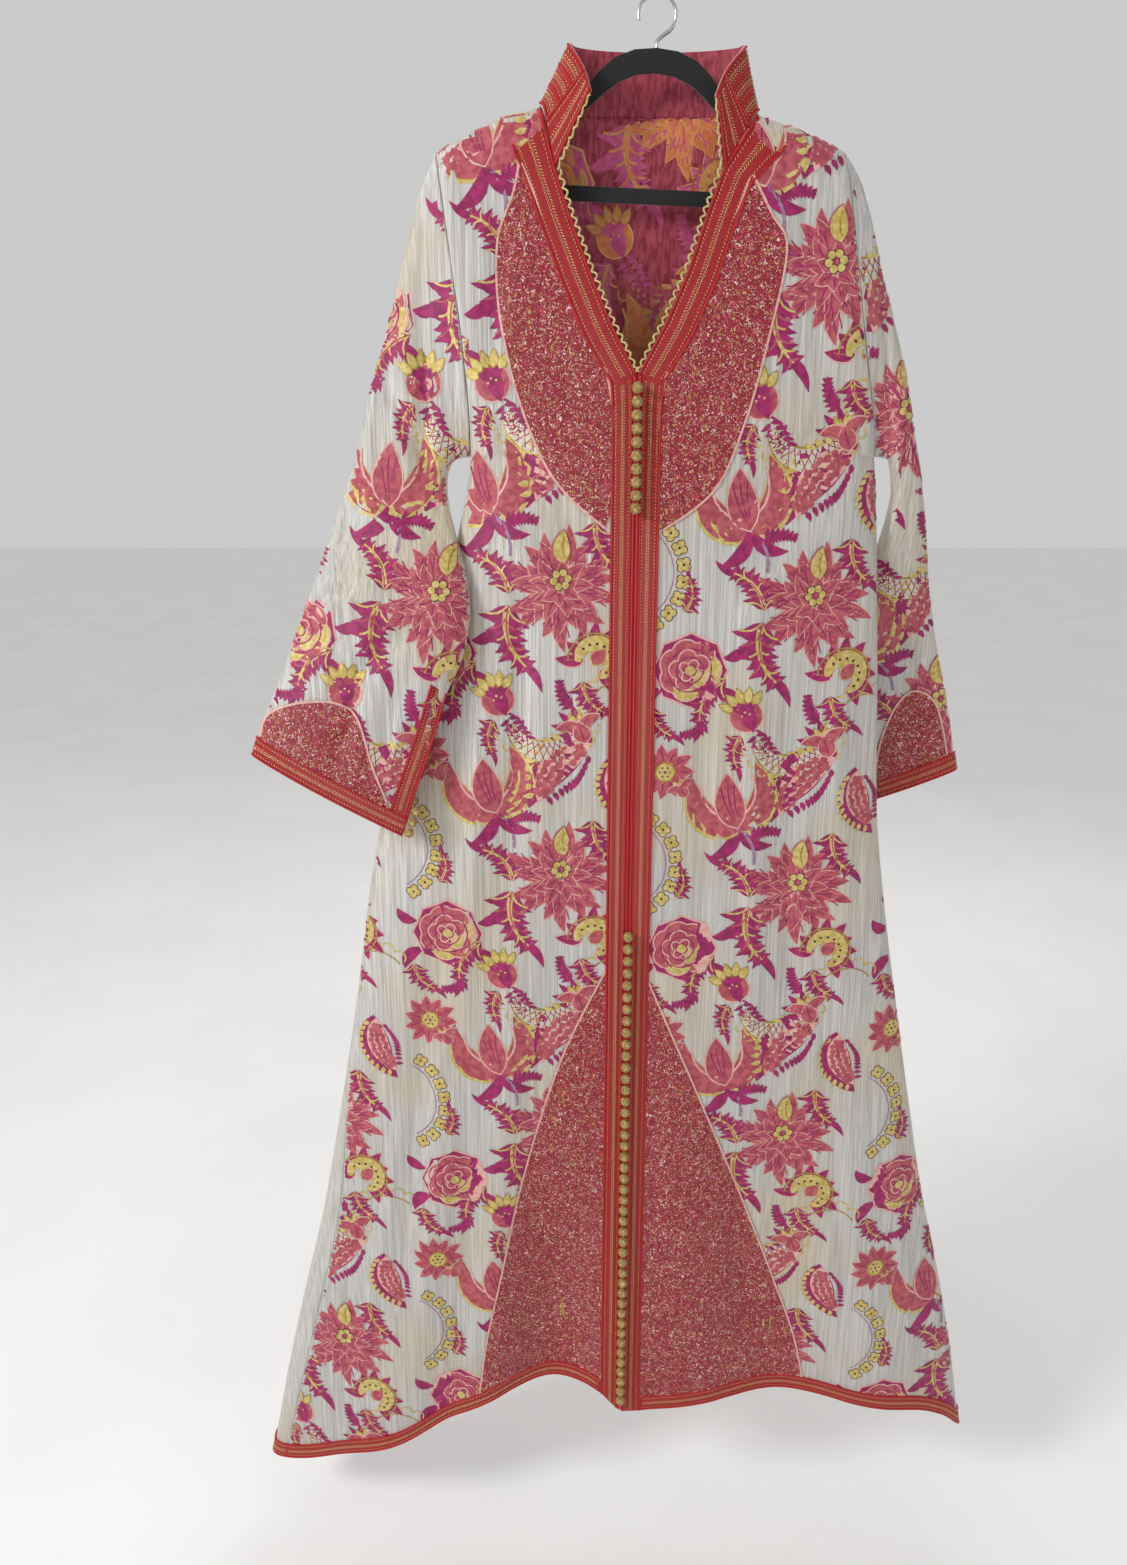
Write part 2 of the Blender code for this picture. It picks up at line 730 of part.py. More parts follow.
def armhole_ring(side, grids):
    """The armhole's edge of the front and back, moved out by a seam, with its normals."""
    front_points, front_normals = grids[side]
    back_points, back_normals = grids["back"]
    column = 0 if side == "right" else -1
    first = 1 + SKIRT_ROWS
    out = Vector((SIDE_SIGN[side] * ARMHOLE_SEAM, 0, 0))
    line, normals = [], []
    for step in range(ARM_ROWS + 1):
        line.append(front_points[first + step][0] + out)
        normals.append(front_normals[first + step][0].copy())
    for step in range(ARM_ROWS - 1, -1, -1):
        line.append(back_points[first + step][column] + out)
        normals.append(back_normals[first + step][column].copy())
    for end in (0, ARM_ROWS, 2 * ARM_ROWS):
        line[end].y = 0
    return line, normals


def make_sleeve(side, grids):
    """One sleeve, its slit braids, its cuff braid and the three buttons at its slit."""
    first, first_normals = armhole_ring(side, grids)
    points = [first] + [sleeve_ring(side, k + 1) for k in range(len(SLEEVE_RINGS[side]))]
    closed = SLIT_RING + 1
    normals = grid_normals(points, lambda p: Vector((0, -1, 0)), closed)
    for line, row in zip(points, normals):
        length = (line[ARM_ROWS] - line[0]).normalized()
        for step, normal in enumerate(row):
            turn = math.pi * step / ARM_ROWS
            outward = length * -math.cos(turn) ** 3 + Vector((0, -math.sin(turn), 0))
            if normal.dot(outward) < 0:
                normal.negate()
    normals[0] = first_normals
    cloth_wall("sleeve_" + side, points, normals, -WALL, 0, "brocade", closed)
    last, cols = len(points) - 1, len(points[0])
    braid_wall("cuff_braid_" + side, points, normals, (last - 1, last), range(cols))
    slit_rows = range(SLIT_RING, last)
    gaps = (0, SEAM, 0, 0)
    front_cols = range(SLIT_BRAID_COLUMNS + 1)
    back_cols = range(cols - 1 - SLIT_BRAID_COLUMNS, cols)
    braid_wall("slit_braid_front_" + side, points, normals, slit_rows, front_cols, gaps=gaps)
    gaps = (SEAM, SEAM, 0, 0)
    slit_rows = range(SLIT_RING + 1, last)
    braid_wall("slit_braid_back_" + side, points, normals, slit_rows, back_cols, gaps=gaps)
    cuff, above = points[-1][0], points[-3][0]
    along = (above - cuff).normalized()
    out = along.cross(Vector((0, 1, 0))).normalized() * SIDE_SIGN[side]
    for k in range(CUFF_BUTTONS):
        place = cuff + along * (CUFF_BUTTON_RADIUS + CUFF_BUTTON_PITCH * k)
        place += out * (CUFF_BUTTON_RADIUS + BUTTON_SEAT)
        make_ball("cuff_button_{}_{}".format(side, k + 1), place, CUFF_BUTTON_RADIUS)


def collar_lines(grids):
    """The collar's foot, along the neck's edge, and its top edge, from front corner to corner."""
    first = 1 + SKIRT_ROWS + COLLAR_ROW
    feet, foot_normals = {}, {}
    for side in ("right", "left"):
        points, normals = grids[side]
        feet[side] = [points[first + k][-1].copy() for k in range(3)]
        foot_normals[side] = [normals[first][-1], normals[first + 1][-1], None]
        feet[side][-1].y = 0
    start = BACK_SIDE_COLUMNS + 1
    middle = [p.copy() for p in grids["back"][0][-1][start:start + BACK_MIDDLE_COLUMNS - 1]]
    middle_normals = grids["back"][1][-1][start:start + BACK_MIDDLE_COLUMNS - 1]
    top = [Vector(p) for p in COLLAR_TOP["right"]]
    low_x, high_x = COLLAR_TOP["right"][-1][0], COLLAR_TOP["left"][-1][0]
    low_z, high_z = COLLAR_TOP["right"][-1][2], COLLAR_TOP["left"][-1][2]
    for k in range(1, BACK_MIDDLE_COLUMNS):
        share = k / BACK_MIDDLE_COLUMNS
        across = -math.cos(math.pi * share)
        x = (low_x + high_x) / 2 + (high_x - low_x) / 2 * across
        rim_z = low_z + (high_z - low_z) * share
        z = rim_z + (COLLAR_BACK_TOP_Z - rim_z) * math.sin(math.pi * share)
        top.append(Vector((x, COLLAR_BACK_TOP_DEPTH * math.sin(math.pi * share), z)))
    top += [Vector(p) for p in COLLAR_TOP["left"][::-1]]
    foot = feet["right"] + middle + feet["left"][::-1]
    return foot, foot_normals["right"] + middle_normals + foot_normals["left"][::-1], top


def make_collar(grids):
    foot, foot_normals, top = collar_lines(grids)
    rows = []
    heights = [SEAM, COLLAR_BRAID_START]
    for level in range(1, COLLAR_LEVELS + 1):
        heights.append(level / COLLAR_LEVELS)
    for number, height in enumerate(heights):
        line = []
        for low, high in zip(foot, top):
            rise = high - low
            share = height if number > 1 else height / rise.length
            line.append(low + rise * share)
        rows.append(line)
    middle = Vector((CENTRE_X, 0, 0))
    normals = grid_normals(rows, lambda p: Vector((p.x - middle.x, p.y * 3, 0)))
    for column, normal in enumerate(foot_normals):
        if normal is not None:
            normals[0][column] = normal.copy()
    cloth_wall("collar", rows, normals, -WALL, 0, "brocade")
    columns = range(len(foot))
    braid_wall("collar_braid", rows, normals, range(1, len(rows)), columns)


def make_front_trims(grids):
    """Neck braid, front braid, edge strip and hem braid of each front, and the back's hem braid."""
    foot_row = 1 + SKIRT_ROWS + V_BOTTOM_ROW
    for side in ("right", "left"):
        points, normals = grids[side]
        last = len(points[0]) - 1
        top_row = len(points) - 1
        neck_rows, front_rows = range(foot_row, top_row + 1), range(foot_row + 1)
        neck_columns = (last - 2, last - 1, last)
        braid_wall("neck_braid_" + side, points, normals, neck_rows, neck_columns,
                   gaps=(SEAM, 0, 0, SEAM))
        braid_wall("front_braid_" + side, points, normals, front_rows, (last - 2, last - 1),
                   gaps=(0, 0, 0, SEAM))
        braid_wall("edge_strip_" + side, points, normals, front_rows, (last - 1, last), "strip")
        braid_wall("hem_braid_front_" + side, points, normals, (0, 1), range(last - 1),
                   gaps=(0, 0, 0, SEAM))
    points, normals = grids["back"]
    braid_wall("hem_braid_back", points, normals, (0, 1), range(len(points[0])))


def make_ball(name, place, radius):
    bpy.ops.mesh.primitive_uv_sphere_add(segments=10, ring_count=6, radius=radius, location=place)
    ball = bpy.context.object
    ball.name = name
    ball.data.name = name
    ball.data.shade_smooth()
    ball.data.materials.append(MATERIALS["button"])
    for owner in ball.users_collection:
        owner.objects.unlink(ball)
    COLLECTION.objects.link(ball)
    ball.parent = HOLDER


def closure_y(z):
    """Depth of the front's outer face at its middle, with the edge strips on it."""
    half_width = read_table(BODY_HALF_WIDTH["left"], z)
    return body_y("front", CENTRE_X, z, half_width, 0.0) - BRAID_LIFT - BRAID_THICK


def make_buttons():
    for k in range(UPPER_BUTTONS):
        z = UPPER_TOP_Z - k * UPPER_PITCH
        place = Vector((CENTRE_X, closure_y(z) - BUTTON_RADIUS - BUTTON_SEAT, z))
        make_ball("upper_button_{:02d}".format(k + 1), place, BUTTON_RADIUS)
    lower_button_string()


def lower_button_string():
    """The lower row: balls that stand so close that one turned string carries them."""
    mesh = bmesh.new()
    rings = []
    shape = ((-0.5, 0.0), (-0.30, 0.80), (0.0, 1.0), (0.30, 0.80))
    profile = []
    for k in range(LOWER_BUTTONS):
        for along, swell in shape:
            radius = LOWER_NECK_RADIUS + (BUTTON_RADIUS - LOWER_NECK_RADIUS) * swell
            profile.append((LOWER_TOP_Z - (k + along) * LOWER_PITCH, radius))
    for z, radius in profile:
        y = closure_y(z) - BUTTON_RADIUS - BUTTON_SEAT
        ring = []
        for side in range(LOWER_SIDES):
            turn = 2 * math.pi * (side + 0.5) / LOWER_SIDES
            place = (CENTRE_X + radius * math.cos(turn), y + radius * math.sin(turn), z)
            ring.append(mesh.verts.new(place))
        rings.append(ring)
    for ring, after in zip(rings, rings[1:]):
        for side in range(LOWER_SIDES):
            other = (side + 1) % LOWER_SIDES
            mesh.faces.new((ring[side], ring[other], after[other], after[side]))
    mesh.faces.new(rings[0])
    mesh.faces.new(rings[-1])
    bmesh.ops.recalc_face_normals(mesh, faces=mesh.faces)
    data = bpy.data.meshes.new("lower_buttons")
    mesh.to_mesh(data)
    mesh.free()
    data.shade_smooth()
    new_mesh_object("lower_buttons", data, MATERIALS["button"])


def curve_to_mesh(curve_object, name, finish):
    """Replace a curve by its closed mesh, with the caps welded."""
    graph = bpy.context.evaluated_depsgraph_get()
    data = bpy.data.meshes.new_from_object(curve_object.evaluated_get(graph))
    data.name = name
    mesh = bmesh.new()
    mesh.from_mesh(data)
    bmesh.ops.remove_doubles(mesh, verts=mesh.verts, dist=0.00001)
    bmesh.ops.recalc_face_normals(mesh, faces=mesh.faces)
    mesh.to_mesh(data)
    mesh.free()
    data.materials.clear()
    item = new_mesh_object(name, data, MATERIALS[finish])
    item.matrix_world = curve_object.matrix_world
    bpy.data.objects.remove(curve_object)
    return item


def mirrored(half):
    """A closed outline from the half at +X that starts on the middle line."""
    return list(half) + [(-x, z) for x, z in reversed(half) if x > 0]


def make_hanger():
    """The slim hanger: one flat frame of arch, arms and bar, and a wire hook over it."""
    curve = bpy.data.curves.new("hanger_outline", "CURVE")
    curve.dimensions = "2D"
    curve.fill_mode = "BOTH"
    curve.extrude = HANGER_THICK / 2
    for outline in (mirrored(HANGER_TOP + HANGER_FOOT), mirrored(HANGER_INNER)):
        spline = curve.splines.new("POLY")
        spline.points.add(len(outline) - 1)
        for point, (x, z) in zip(spline.points, outline):
            tilted_x, tilted_z = tilt_about_peak(x, z)
            point.co = (tilted_x, tilted_z, 0, 1)
        spline.use_cyclic_u = True
    outline_object = bpy.data.objects.new("hanger_outline", curve)
    outline_object.rotation_euler = (math.radians(90), 0, 0)
    COLLECTION.objects.link(outline_object)
    bpy.context.view_layer.update()
    curve_to_mesh(outline_object, "hanger", "hanger")

    wire = bpy.data.curves.new("hook_wire", "CURVE")
    wire.dimensions = "3D"
    wire.bevel_depth = HOOK_WIRE
    wire.bevel_resolution = 2
    wire.use_fill_caps = True
    centre_z = HOOK_WIRE - HOOK_RADIUS
    foot_z = HANGER_PEAK_Z + SEAM
    start = Vector((HOOK_RADIUS * math.cos(HOOK_START), 0, centre_z + HOOK_RADIUS * math.sin(HOOK_START)))
    route = [Vector((0, 0, foot_z)), Vector((0, 0, foot_z + 0.005))]
    route.append(Vector((start.x * 0.35, 0, foot_z + 0.009)))
    for k in range(HOOK_STEPS + 1):
        turn = HOOK_START + (HOOK_END - HOOK_START) * k / HOOK_STEPS
        route.append(Vector((HOOK_RADIUS * math.cos(turn), 0, centre_z + HOOK_RADIUS * math.sin(turn))))
    spline = wire.splines.new("POLY")
    spline.points.add(len(route) - 1)
    for point, place in zip(spline.points, route):
        point.co = (place.x, place.y, place.z, 1)
    wire_object = bpy.data.objects.new("hook_wire", wire)
    COLLECTION.objects.link(wire_object)
    bpy.context.view_layer.update()
    curve_to_mesh(wire_object, "hook", "hook")


for old in list(bpy.data.objects):
    bpy.data.objects.remove(old)
COLLECTION = bpy.data.collections.new("moroccan_kaftan_on_hanger")
bpy.context.scene.collection.children.link(COLLECTION)
HOLDER = bpy.data.objects.new("held_at_hook", None)
HOLDER.empty_display_size = 0.02
COLLECTION.objects.link(HOLDER)
MATERIALS = {name: finish_material(name) for name in FINISHES}

body_grids = make_body()
make_front_trims(body_grids)
make_sleeve("right", body_grids)
make_sleeve("left", body_grids)
make_collar(body_grids)
make_buttons()
make_hanger()
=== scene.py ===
"""The looks of a Moroccan kaftan that hangs on a slim hanger.

Each panel of cloth is a fine shell on the form of its solid. The brocade's flowers are thin crisp
shapes laid on the shells, the braids are cords and stitches, and the buttons are knotted balls.
The wearer's right side is at -X and the front faces -Y. All sizes are in metres.
"""

import math
import random

import bmesh
import bpy
import numpy as np
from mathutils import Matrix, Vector
from mathutils.bvhtree import BVHTree


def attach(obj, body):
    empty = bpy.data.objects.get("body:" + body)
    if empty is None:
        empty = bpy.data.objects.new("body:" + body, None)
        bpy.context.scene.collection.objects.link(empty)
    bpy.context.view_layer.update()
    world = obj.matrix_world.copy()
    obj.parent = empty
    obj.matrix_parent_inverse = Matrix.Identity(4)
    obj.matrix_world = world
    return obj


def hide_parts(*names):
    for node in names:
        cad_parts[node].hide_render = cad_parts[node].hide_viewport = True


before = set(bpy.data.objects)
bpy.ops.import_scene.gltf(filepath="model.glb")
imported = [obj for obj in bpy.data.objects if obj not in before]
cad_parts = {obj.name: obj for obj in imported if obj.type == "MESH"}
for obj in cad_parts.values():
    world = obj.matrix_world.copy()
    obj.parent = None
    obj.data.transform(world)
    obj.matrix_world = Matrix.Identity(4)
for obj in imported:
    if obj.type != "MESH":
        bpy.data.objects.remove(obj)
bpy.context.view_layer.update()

SIDES = ("right", "left")
SIDE_SIGN = {"right": -1, "left": 1}

# Cloth, seams and braid
SEAM = 0.0003
ARMHOLE_SEAM = 0.0006
BRAID_THICK = 0.0018
BRAID_LIFT = 0.0003

# The body's main places
CENTRE_X = -0.014
ARMPIT_Z = -0.400
SHOULDER_ROUND = 0.030
SHOULDER_STEP = 0.008
ARMHOLE_DEPTH = 0.020
SECTION_POWER = 2.8
NECK_BACK_DEPTH = 0.030
NECK_BACK_Z = -0.093
NECK_STEEPNESS = 3
HEM_BRAID = 0.020

# Rows from the hem braid to the armpit, and from the armpit to the shoulder
SKIRT_ROWS = 12
ARM_ROWS = 9

# Height, and the body's half width there; cloth has slipped to the wearer's left at the chest
SKIRT_HALF_WIDTH = (
    (-1.670, 0.456), (-1.540, 0.427), (-1.430, 0.399), (-1.300, 0.364), (-1.060, 0.316),
    (-0.820, 0.275),
)
BODY_HALF_WIDTH = {
    "right": SKIRT_HALF_WIDTH + (
        (-0.700, 0.238), (-0.620, 0.205), (-0.500, 0.182), (-0.400, 0.164), (-0.300, 0.168),
        (-0.200, 0.180), (-0.126, 0.190),
    ),
    "left": SKIRT_HALF_WIDTH + (
        (-0.620, 0.260), (-0.400, 0.240), (-0.300, 0.220), (-0.200, 0.203), (-0.126, 0.190),
    ),
}

# Height, and half of the depth from front to back
BODY_HALF_DEPTH = (
    (-1.670, 0.046), (-1.400, 0.042), (-1.000, 0.036), (-0.600, 0.031), (-0.300, 0.028),
    (-0.126, 0.020), (-0.040, 0.018),
)

# Place across the body, and the height of the front hem and of the back hem there
HEM_LINE = (
    (-0.470, -1.662, -1.662), (-0.400, -1.645, -1.640), (-0.298, -1.608, -1.604),
    (-0.194, -1.548, -1.580), (-0.143, -1.529, -1.572), (-0.066, -1.524, -1.576),
    (-0.035, -1.534, -1.584), (-0.014, -1.556, -1.588), (0.013, -1.556, -1.588),
    (0.088, -1.543, -1.574), (0.201, -1.540, -1.570), (0.316, -1.553, -1.578),
    (0.400, -1.583, -1.596), (0.442, -1.628, -1.628),
)

# Height, and how far the right side seam has rolled to the front, as a share of the half width
SEAM_ROLL = (
    (-1.670, 0.045), (-1.450, 0.062), (-1.280, 0.058), (-1.120, 0.014), (-1.000, 0.000),
    (-0.100, 0.000),
)

# Height of the row at the armhole, then height and the two places of the front edge there
NECK_ROWS = (
    (-0.400, -0.014, -0.014), (-0.375, -0.014, -0.014), (-0.350, -0.014, -0.014),
    (-0.324, -0.014, -0.014), (-0.276, -0.040, 0.012), (-0.228, -0.061, 0.033),
    (-0.182, -0.079, 0.048), (-0.144, -0.092, 0.062), (-0.103, -0.103, 0.089),
    (-0.095, -0.106, 0.094),
)
V_BOTTOM_ROW = 3
COLLAR_ROW = 7
TOP_ROW = 1 + SKIRT_ROWS + ARM_ROWS
TOP_BLEND_START = 4
TOP_BLEND_ROWS = 4.5

# Panel, place across the hem, half width, depth towards the back, height where the fold starts
FOLDS = (
    ("front", -0.105, 0.085, 0.024, -1.150),
    ("front", -0.205, 0.050, -0.006, -0.800),
    ("front", -0.310, 0.080, -0.010, -1.000),
    ("front", 0.075, 0.060, -0.005, -0.900),
    ("front", 0.200, 0.105, 0.018, -1.100),
    ("front", 0.335, 0.080, -0.010, -0.950),
    ("back", -0.330, 0.080, -0.010, -1.050),
    ("back", -0.215, 0.095, 0.014, -1.000),
    ("back", -0.020, 0.120, -0.012, -0.950),
    ("back", 0.215, 0.105, 0.012, -1.050),
    ("back", 0.330, 0.070, -0.008, -1.100),
)
FOLD_GROWTH = 0.350
FOLD_EDGE = 1.4

# Widths of the edge strip and of the braid beside it, below and above the foot of the V
STRIP_WIDTH = 0.004
BRAID_WIDTH = 0.020
NECK_STRIP_WIDTH = 0.007
NECK_BRAID_WIDTH = 0.021
FRONT_COLUMNS = 9

# The back's columns: from a side seam to the line below the neck point, and between those lines
BACK_SIDE_COLUMNS = 7
BACK_MIDDLE_COLUMNS = 10
NECK_LINE_SHARE = {"right": 0.484, "left": 0.568}

# Sleeve rings: outer fold x and z, then inner fold x and z, then half the depth
SLEEVE_RINGS = {
    "right": (
        (-0.220, -0.158, -0.193, -0.403, 0.0150), (-0.233, -0.200, -0.200, -0.413, 0.0145),
        (-0.246, -0.243, -0.202, -0.426, 0.0140), (-0.259, -0.286, -0.201, -0.442, 0.0140),
        (-0.273, -0.330, -0.197, -0.463, 0.0130), (-0.287, -0.374, -0.190, -0.488, 0.0130),
        (-0.301, -0.418, -0.183, -0.516, 0.0130), (-0.316, -0.462, -0.180, -0.556, 0.0130),
        (-0.328, -0.496, -0.188, -0.597, 0.0120), (-0.340, -0.530, -0.205, -0.634, 0.0120),
        (-0.364, -0.590, -0.222, -0.688, 0.0120), (-0.388, -0.645, -0.240, -0.738, 0.0120),
        (-0.402, -0.677, -0.2492, -0.765, 0.0120), (-0.409, -0.697, -0.256, -0.785, 0.0120),
    ),
    "left": (
        (0.195, -0.152, 0.241, -0.403, 0.0150), (0.212, -0.200, 0.245, -0.416, 0.0145),
        (0.232, -0.260, 0.247, -0.426, 0.0140), (0.252, -0.326, 0.249, -0.441, 0.0140),
        (0.267, -0.385, 0.247, -0.461, 0.0130), (0.279, -0.433, 0.242, -0.488, 0.0130),
        (0.290, -0.476, 0.235, -0.522, 0.0130), (0.299, -0.514, 0.226, -0.566, 0.0130),
        (0.307, -0.545, 0.214, -0.616, 0.0120), (0.315, -0.574, 0.203, -0.662, 0.0120),
        (0.330, -0.625, 0.195, -0.710, 0.0120), (0.346, -0.680, 0.190, -0.757, 0.0120),
        (0.354, -0.719, 0.1895, -0.781, 0.0120), (0.359, -0.740, 0.189, -0.801, 0.0120),
    ),
}

# Height, and how far the sleeves have swung there: the right to the front, the left to the back
SLEEVE_SWING = (
    (-0.800, 0.050), (-0.640, 0.043), (-0.555, 0.034), (-0.480, 0.015), (-0.440, 0.005),
    (-0.410, 0.000),
)
SLIT_RING = 10
SLIT_HALF_GAP = 0.0032
SLEEVE_POWER = 2.2
SLIT_POWER = 1.3

# Top edge of the collar at its front corner, halfway and above the shoulder seam: x, y, z
COLLAR_TOP = {
    "right": ((-0.060, -0.026, -0.082), (-0.067, -0.017, -0.060), (-0.079, 0.000, -0.038)),
    "left": ((0.052, -0.026, -0.086), (0.062, -0.017, -0.063), (0.080, 0.000, -0.040)),
}
COLLAR_BACK_TOP_Z = -0.036
COLLAR_BACK_TOP_DEPTH = 0.035
COLLAR_LEVELS = 3
COLLAR_FINE_STEPS = (4, 6)
COLLAR_BRAID_FOOT = 0.4

# Ball buttons
BUTTON_RADIUS = 0.0060
BUTTON_SEAT = 0.0006
UPPER_BUTTONS = 10
UPPER_TOP_Z = -0.336
UPPER_PITCH = 0.0125
LOWER_BUTTONS = 44
LOWER_TOP_Z = -0.906
LOWER_PITCH = 0.0146
CUFF_BUTTONS = 3
CUFF_BUTTON_RADIUS = 0.0055
CUFF_BUTTON_PITCH = 0.0125

# Hanger: the top edge from the middle to a tip, and the inner edge from the middle to the bar
HANGER_THICK = 0.005
HANGER_EDGE = 0.0009
HANGER_TILT = math.radians(2.5)
HANGER_PEAK_Z = -0.042
HANGER_TO_CLOTH = 0.0060
HANGER_ARM_START = 0.090
HANGER_ARM_END = 0.148
SHOULDER_DROP = 0.45
HANGER_TOP = (
    (0.000, -0.042), (0.020, -0.044), (0.038, -0.051), (0.052, -0.063), (0.064, -0.078),
    (0.080, -0.092), (0.105, -0.100), (0.140, -0.109), (0.158, -0.119), (0.168, -0.132),
)
HANGER_FOOT = (
    (0.168, -0.150), (0.163, -0.162), (0.150, -0.171),
)
HANGER_INNER = (
    (0.000, -0.062), (0.018, -0.064), (0.034, -0.071), (0.047, -0.081), (0.058, -0.091),
    (0.076, -0.104), (0.103, -0.114), (0.135, -0.124), (0.149, -0.134), (0.152, -0.146),
    (0.146, -0.158),
)

# Hook
HOOK_WIRE = 0.00175
HOOK_RADIUS = 0.0170
HOOK_START = math.radians(-50)
HOOK_END = math.radians(195)
HOOK_STEPS = 28
HOOK_NECK = 0.005
HOOK_BEND = (0.35, 0.009)


def read_table(table, key, column=1):
    """Value of a column at a key, on a smooth curve through the table's rows."""
    rows = sorted(table)
    if key <= rows[0][0]:
        return rows[0][column]
    if key >= rows[-1][0]:
        return rows[-1][column]
    last = len(rows) - 1
    for i in range(last):
        if rows[i][0] <= key <= rows[i + 1][0]:
            break
    start, end = rows[i], rows[i + 1]
    before, after = rows[max(i - 1, 0)], rows[min(i + 2, last)]
    span = end[0] - start[0]
    slope_in = (end[column] - before[column]) / (end[0] - before[0])
    slope_out = (after[column] - start[column]) / (after[0] - start[0])
    t = (key - start[0]) / span
    blend = t * t * (3 - 2 * t)
    swing = t * (1 - t) * ((1 - t) * slope_in - t * slope_out) * span
    return start[column] * (1 - blend) + end[column] * blend + swing


def smooth_step(t):
    t = min(max(t, 0.0), 1.0)
    return t * t * (3 - 2 * t)


def tilt_about_peak(x, z):
    """A point of the hanger after its small tilt about the peak of its arch."""
    cosine, sine = math.cos(HANGER_TILT), math.sin(HANGER_TILT)
    drop = z - HANGER_PEAK_Z
    return x * cosine + drop * sine, HANGER_PEAK_Z - x * sine + drop * cosine


def shoulder_z(x):
    """Height of the shoulder seam, which rests on the hanger's arms."""
    reach = min(max(abs(x), HANGER_ARM_START), HANGER_ARM_END)
    side = 1 if x > 0 else -1
    top = tilt_about_peak(side * reach, read_table([(p[0], p[1]) for p in HANGER_TOP], reach))[1]
    past_arm = max(abs(x) - HANGER_ARM_END, 0.0)
    return top + HANGER_TO_CLOTH - past_arm * SHOULDER_DROP


NECK_COLUMN = {"right": 1, "left": 2}


def neck_point_x(side):
    return NECK_ROWS[-1][NECK_COLUMN[side]]


def armhole_angle(step):
    return math.pi * step / ARM_ROWS


def armhole_row(side, step):
    """Height of a row at the armhole and how far its edge stands off the middle plane."""
    tip_x = CENTRE_X + SIDE_SIGN[side] * BODY_HALF_WIDTH[side][-1][1]
    tip_z = shoulder_z(tip_x)
    share = (1 - math.cos(armhole_angle(step))) / 2
    height = ARMPIT_Z + (tip_z - ARMPIT_Z) * share
    return height, ARMHOLE_DEPTH * math.sin(armhole_angle(step))


def fold_depth(panel, x, z):
    """Depth of the large folds, which fan out towards the hem."""
    widths = BODY_HALF_WIDTH["right" if x < CENTRE_X else "left"]
    spread = read_table(widths, z) / widths[0][1]
    total = 0.0
    for owner, place, half, depth, top in FOLDS:
        if owner != panel:
            continue
        middle = CENTRE_X + (place - CENTRE_X) * spread
        reach = abs(x - middle) / (half * spread)
        if reach < 1:
            total += depth * math.cos(reach * math.pi / 2) ** 2 * smooth_step((top - z) / FOLD_GROWTH)
    return total


def neck_edge(x):
    """Place across the neck from -1 to 1 and the shoulder line's height there; nothing beside it."""
    low, high = neck_point_x("right"), neck_point_x("left")
    if not low < x < high:
        return None
    across = (x - (low + high) / 2) / ((high - low) / 2)
    return across, shoulder_z(low) + (shoulder_z(high) - shoulder_z(low)) * (x - low) / (high - low)


def back_neck_z(across, edge):
    return edge + (NECK_BACK_Z - edge) * smooth_step((1 - abs(across)) * NECK_STEEPNESS)


def body_y(panel, x, z, half_width, edge_depth):
    """Depth of the cloth's outer face at a place on the body."""
    share = max(1 - abs(x - CENTRE_X) / half_width, 0.0)
    profile = (1 - (1 - share) ** SECTION_POWER) ** (1 / SECTION_POWER)
    depth = edge_depth + (read_table(BODY_HALF_DEPTH, z) - edge_depth) * profile
    sign = -1 if panel == "front" else 1
    y = sign * depth + fold_depth(panel, x, z) * smooth_step(profile * FOLD_EDGE)
    top, top_y = shoulder_z(x), 0.0
    neck = neck_edge(x)
    if neck:
        across, top = neck
        if panel == "back":
            top = back_neck_z(across, top)
            top_y = NECK_BACK_DEPTH * math.sqrt(1 - across * across)
    rounding = min(max((top - z) / SHOULDER_ROUND, 0.0), 1.0)
    rounding = math.sqrt(1 - (1 - rounding) ** 2)
    return top_y + (y - top_y) * rounding


def edge_roll(side, z):
    """Square root of the share by which a side seam has rolled round to the front."""
    if side == "left":
        return 0.0
    return math.sqrt(max(read_table(SEAM_ROLL, z), 0.0))


def hem_z(panel, x):
    return read_table(HEM_LINE, x, 1 if panel == "front" else 2)


def skirt_height(hem, row):
    """Height of a row between the hem and the armpit; row 1 is the top of the hem braid."""
    start = hem + HEM_BRAID
    if row < 1:
        return hem + HEM_BRAID * row
    return start + (ARMPIT_Z - start) * (row - 1) / SKIRT_ROWS


def neck_place(side, arm_step):
    """Height of the row at the front edge, and the front edge's place there."""
    low = min(int(arm_step), ARM_ROWS - 1)
    share = arm_step - low
    column = NECK_COLUMN[side]
    start, end = NECK_ROWS[low], NECK_ROWS[low + 1]
    return start[0] + (end[0] - start[0]) * share, start[column] + (end[column] - start[column]) * share


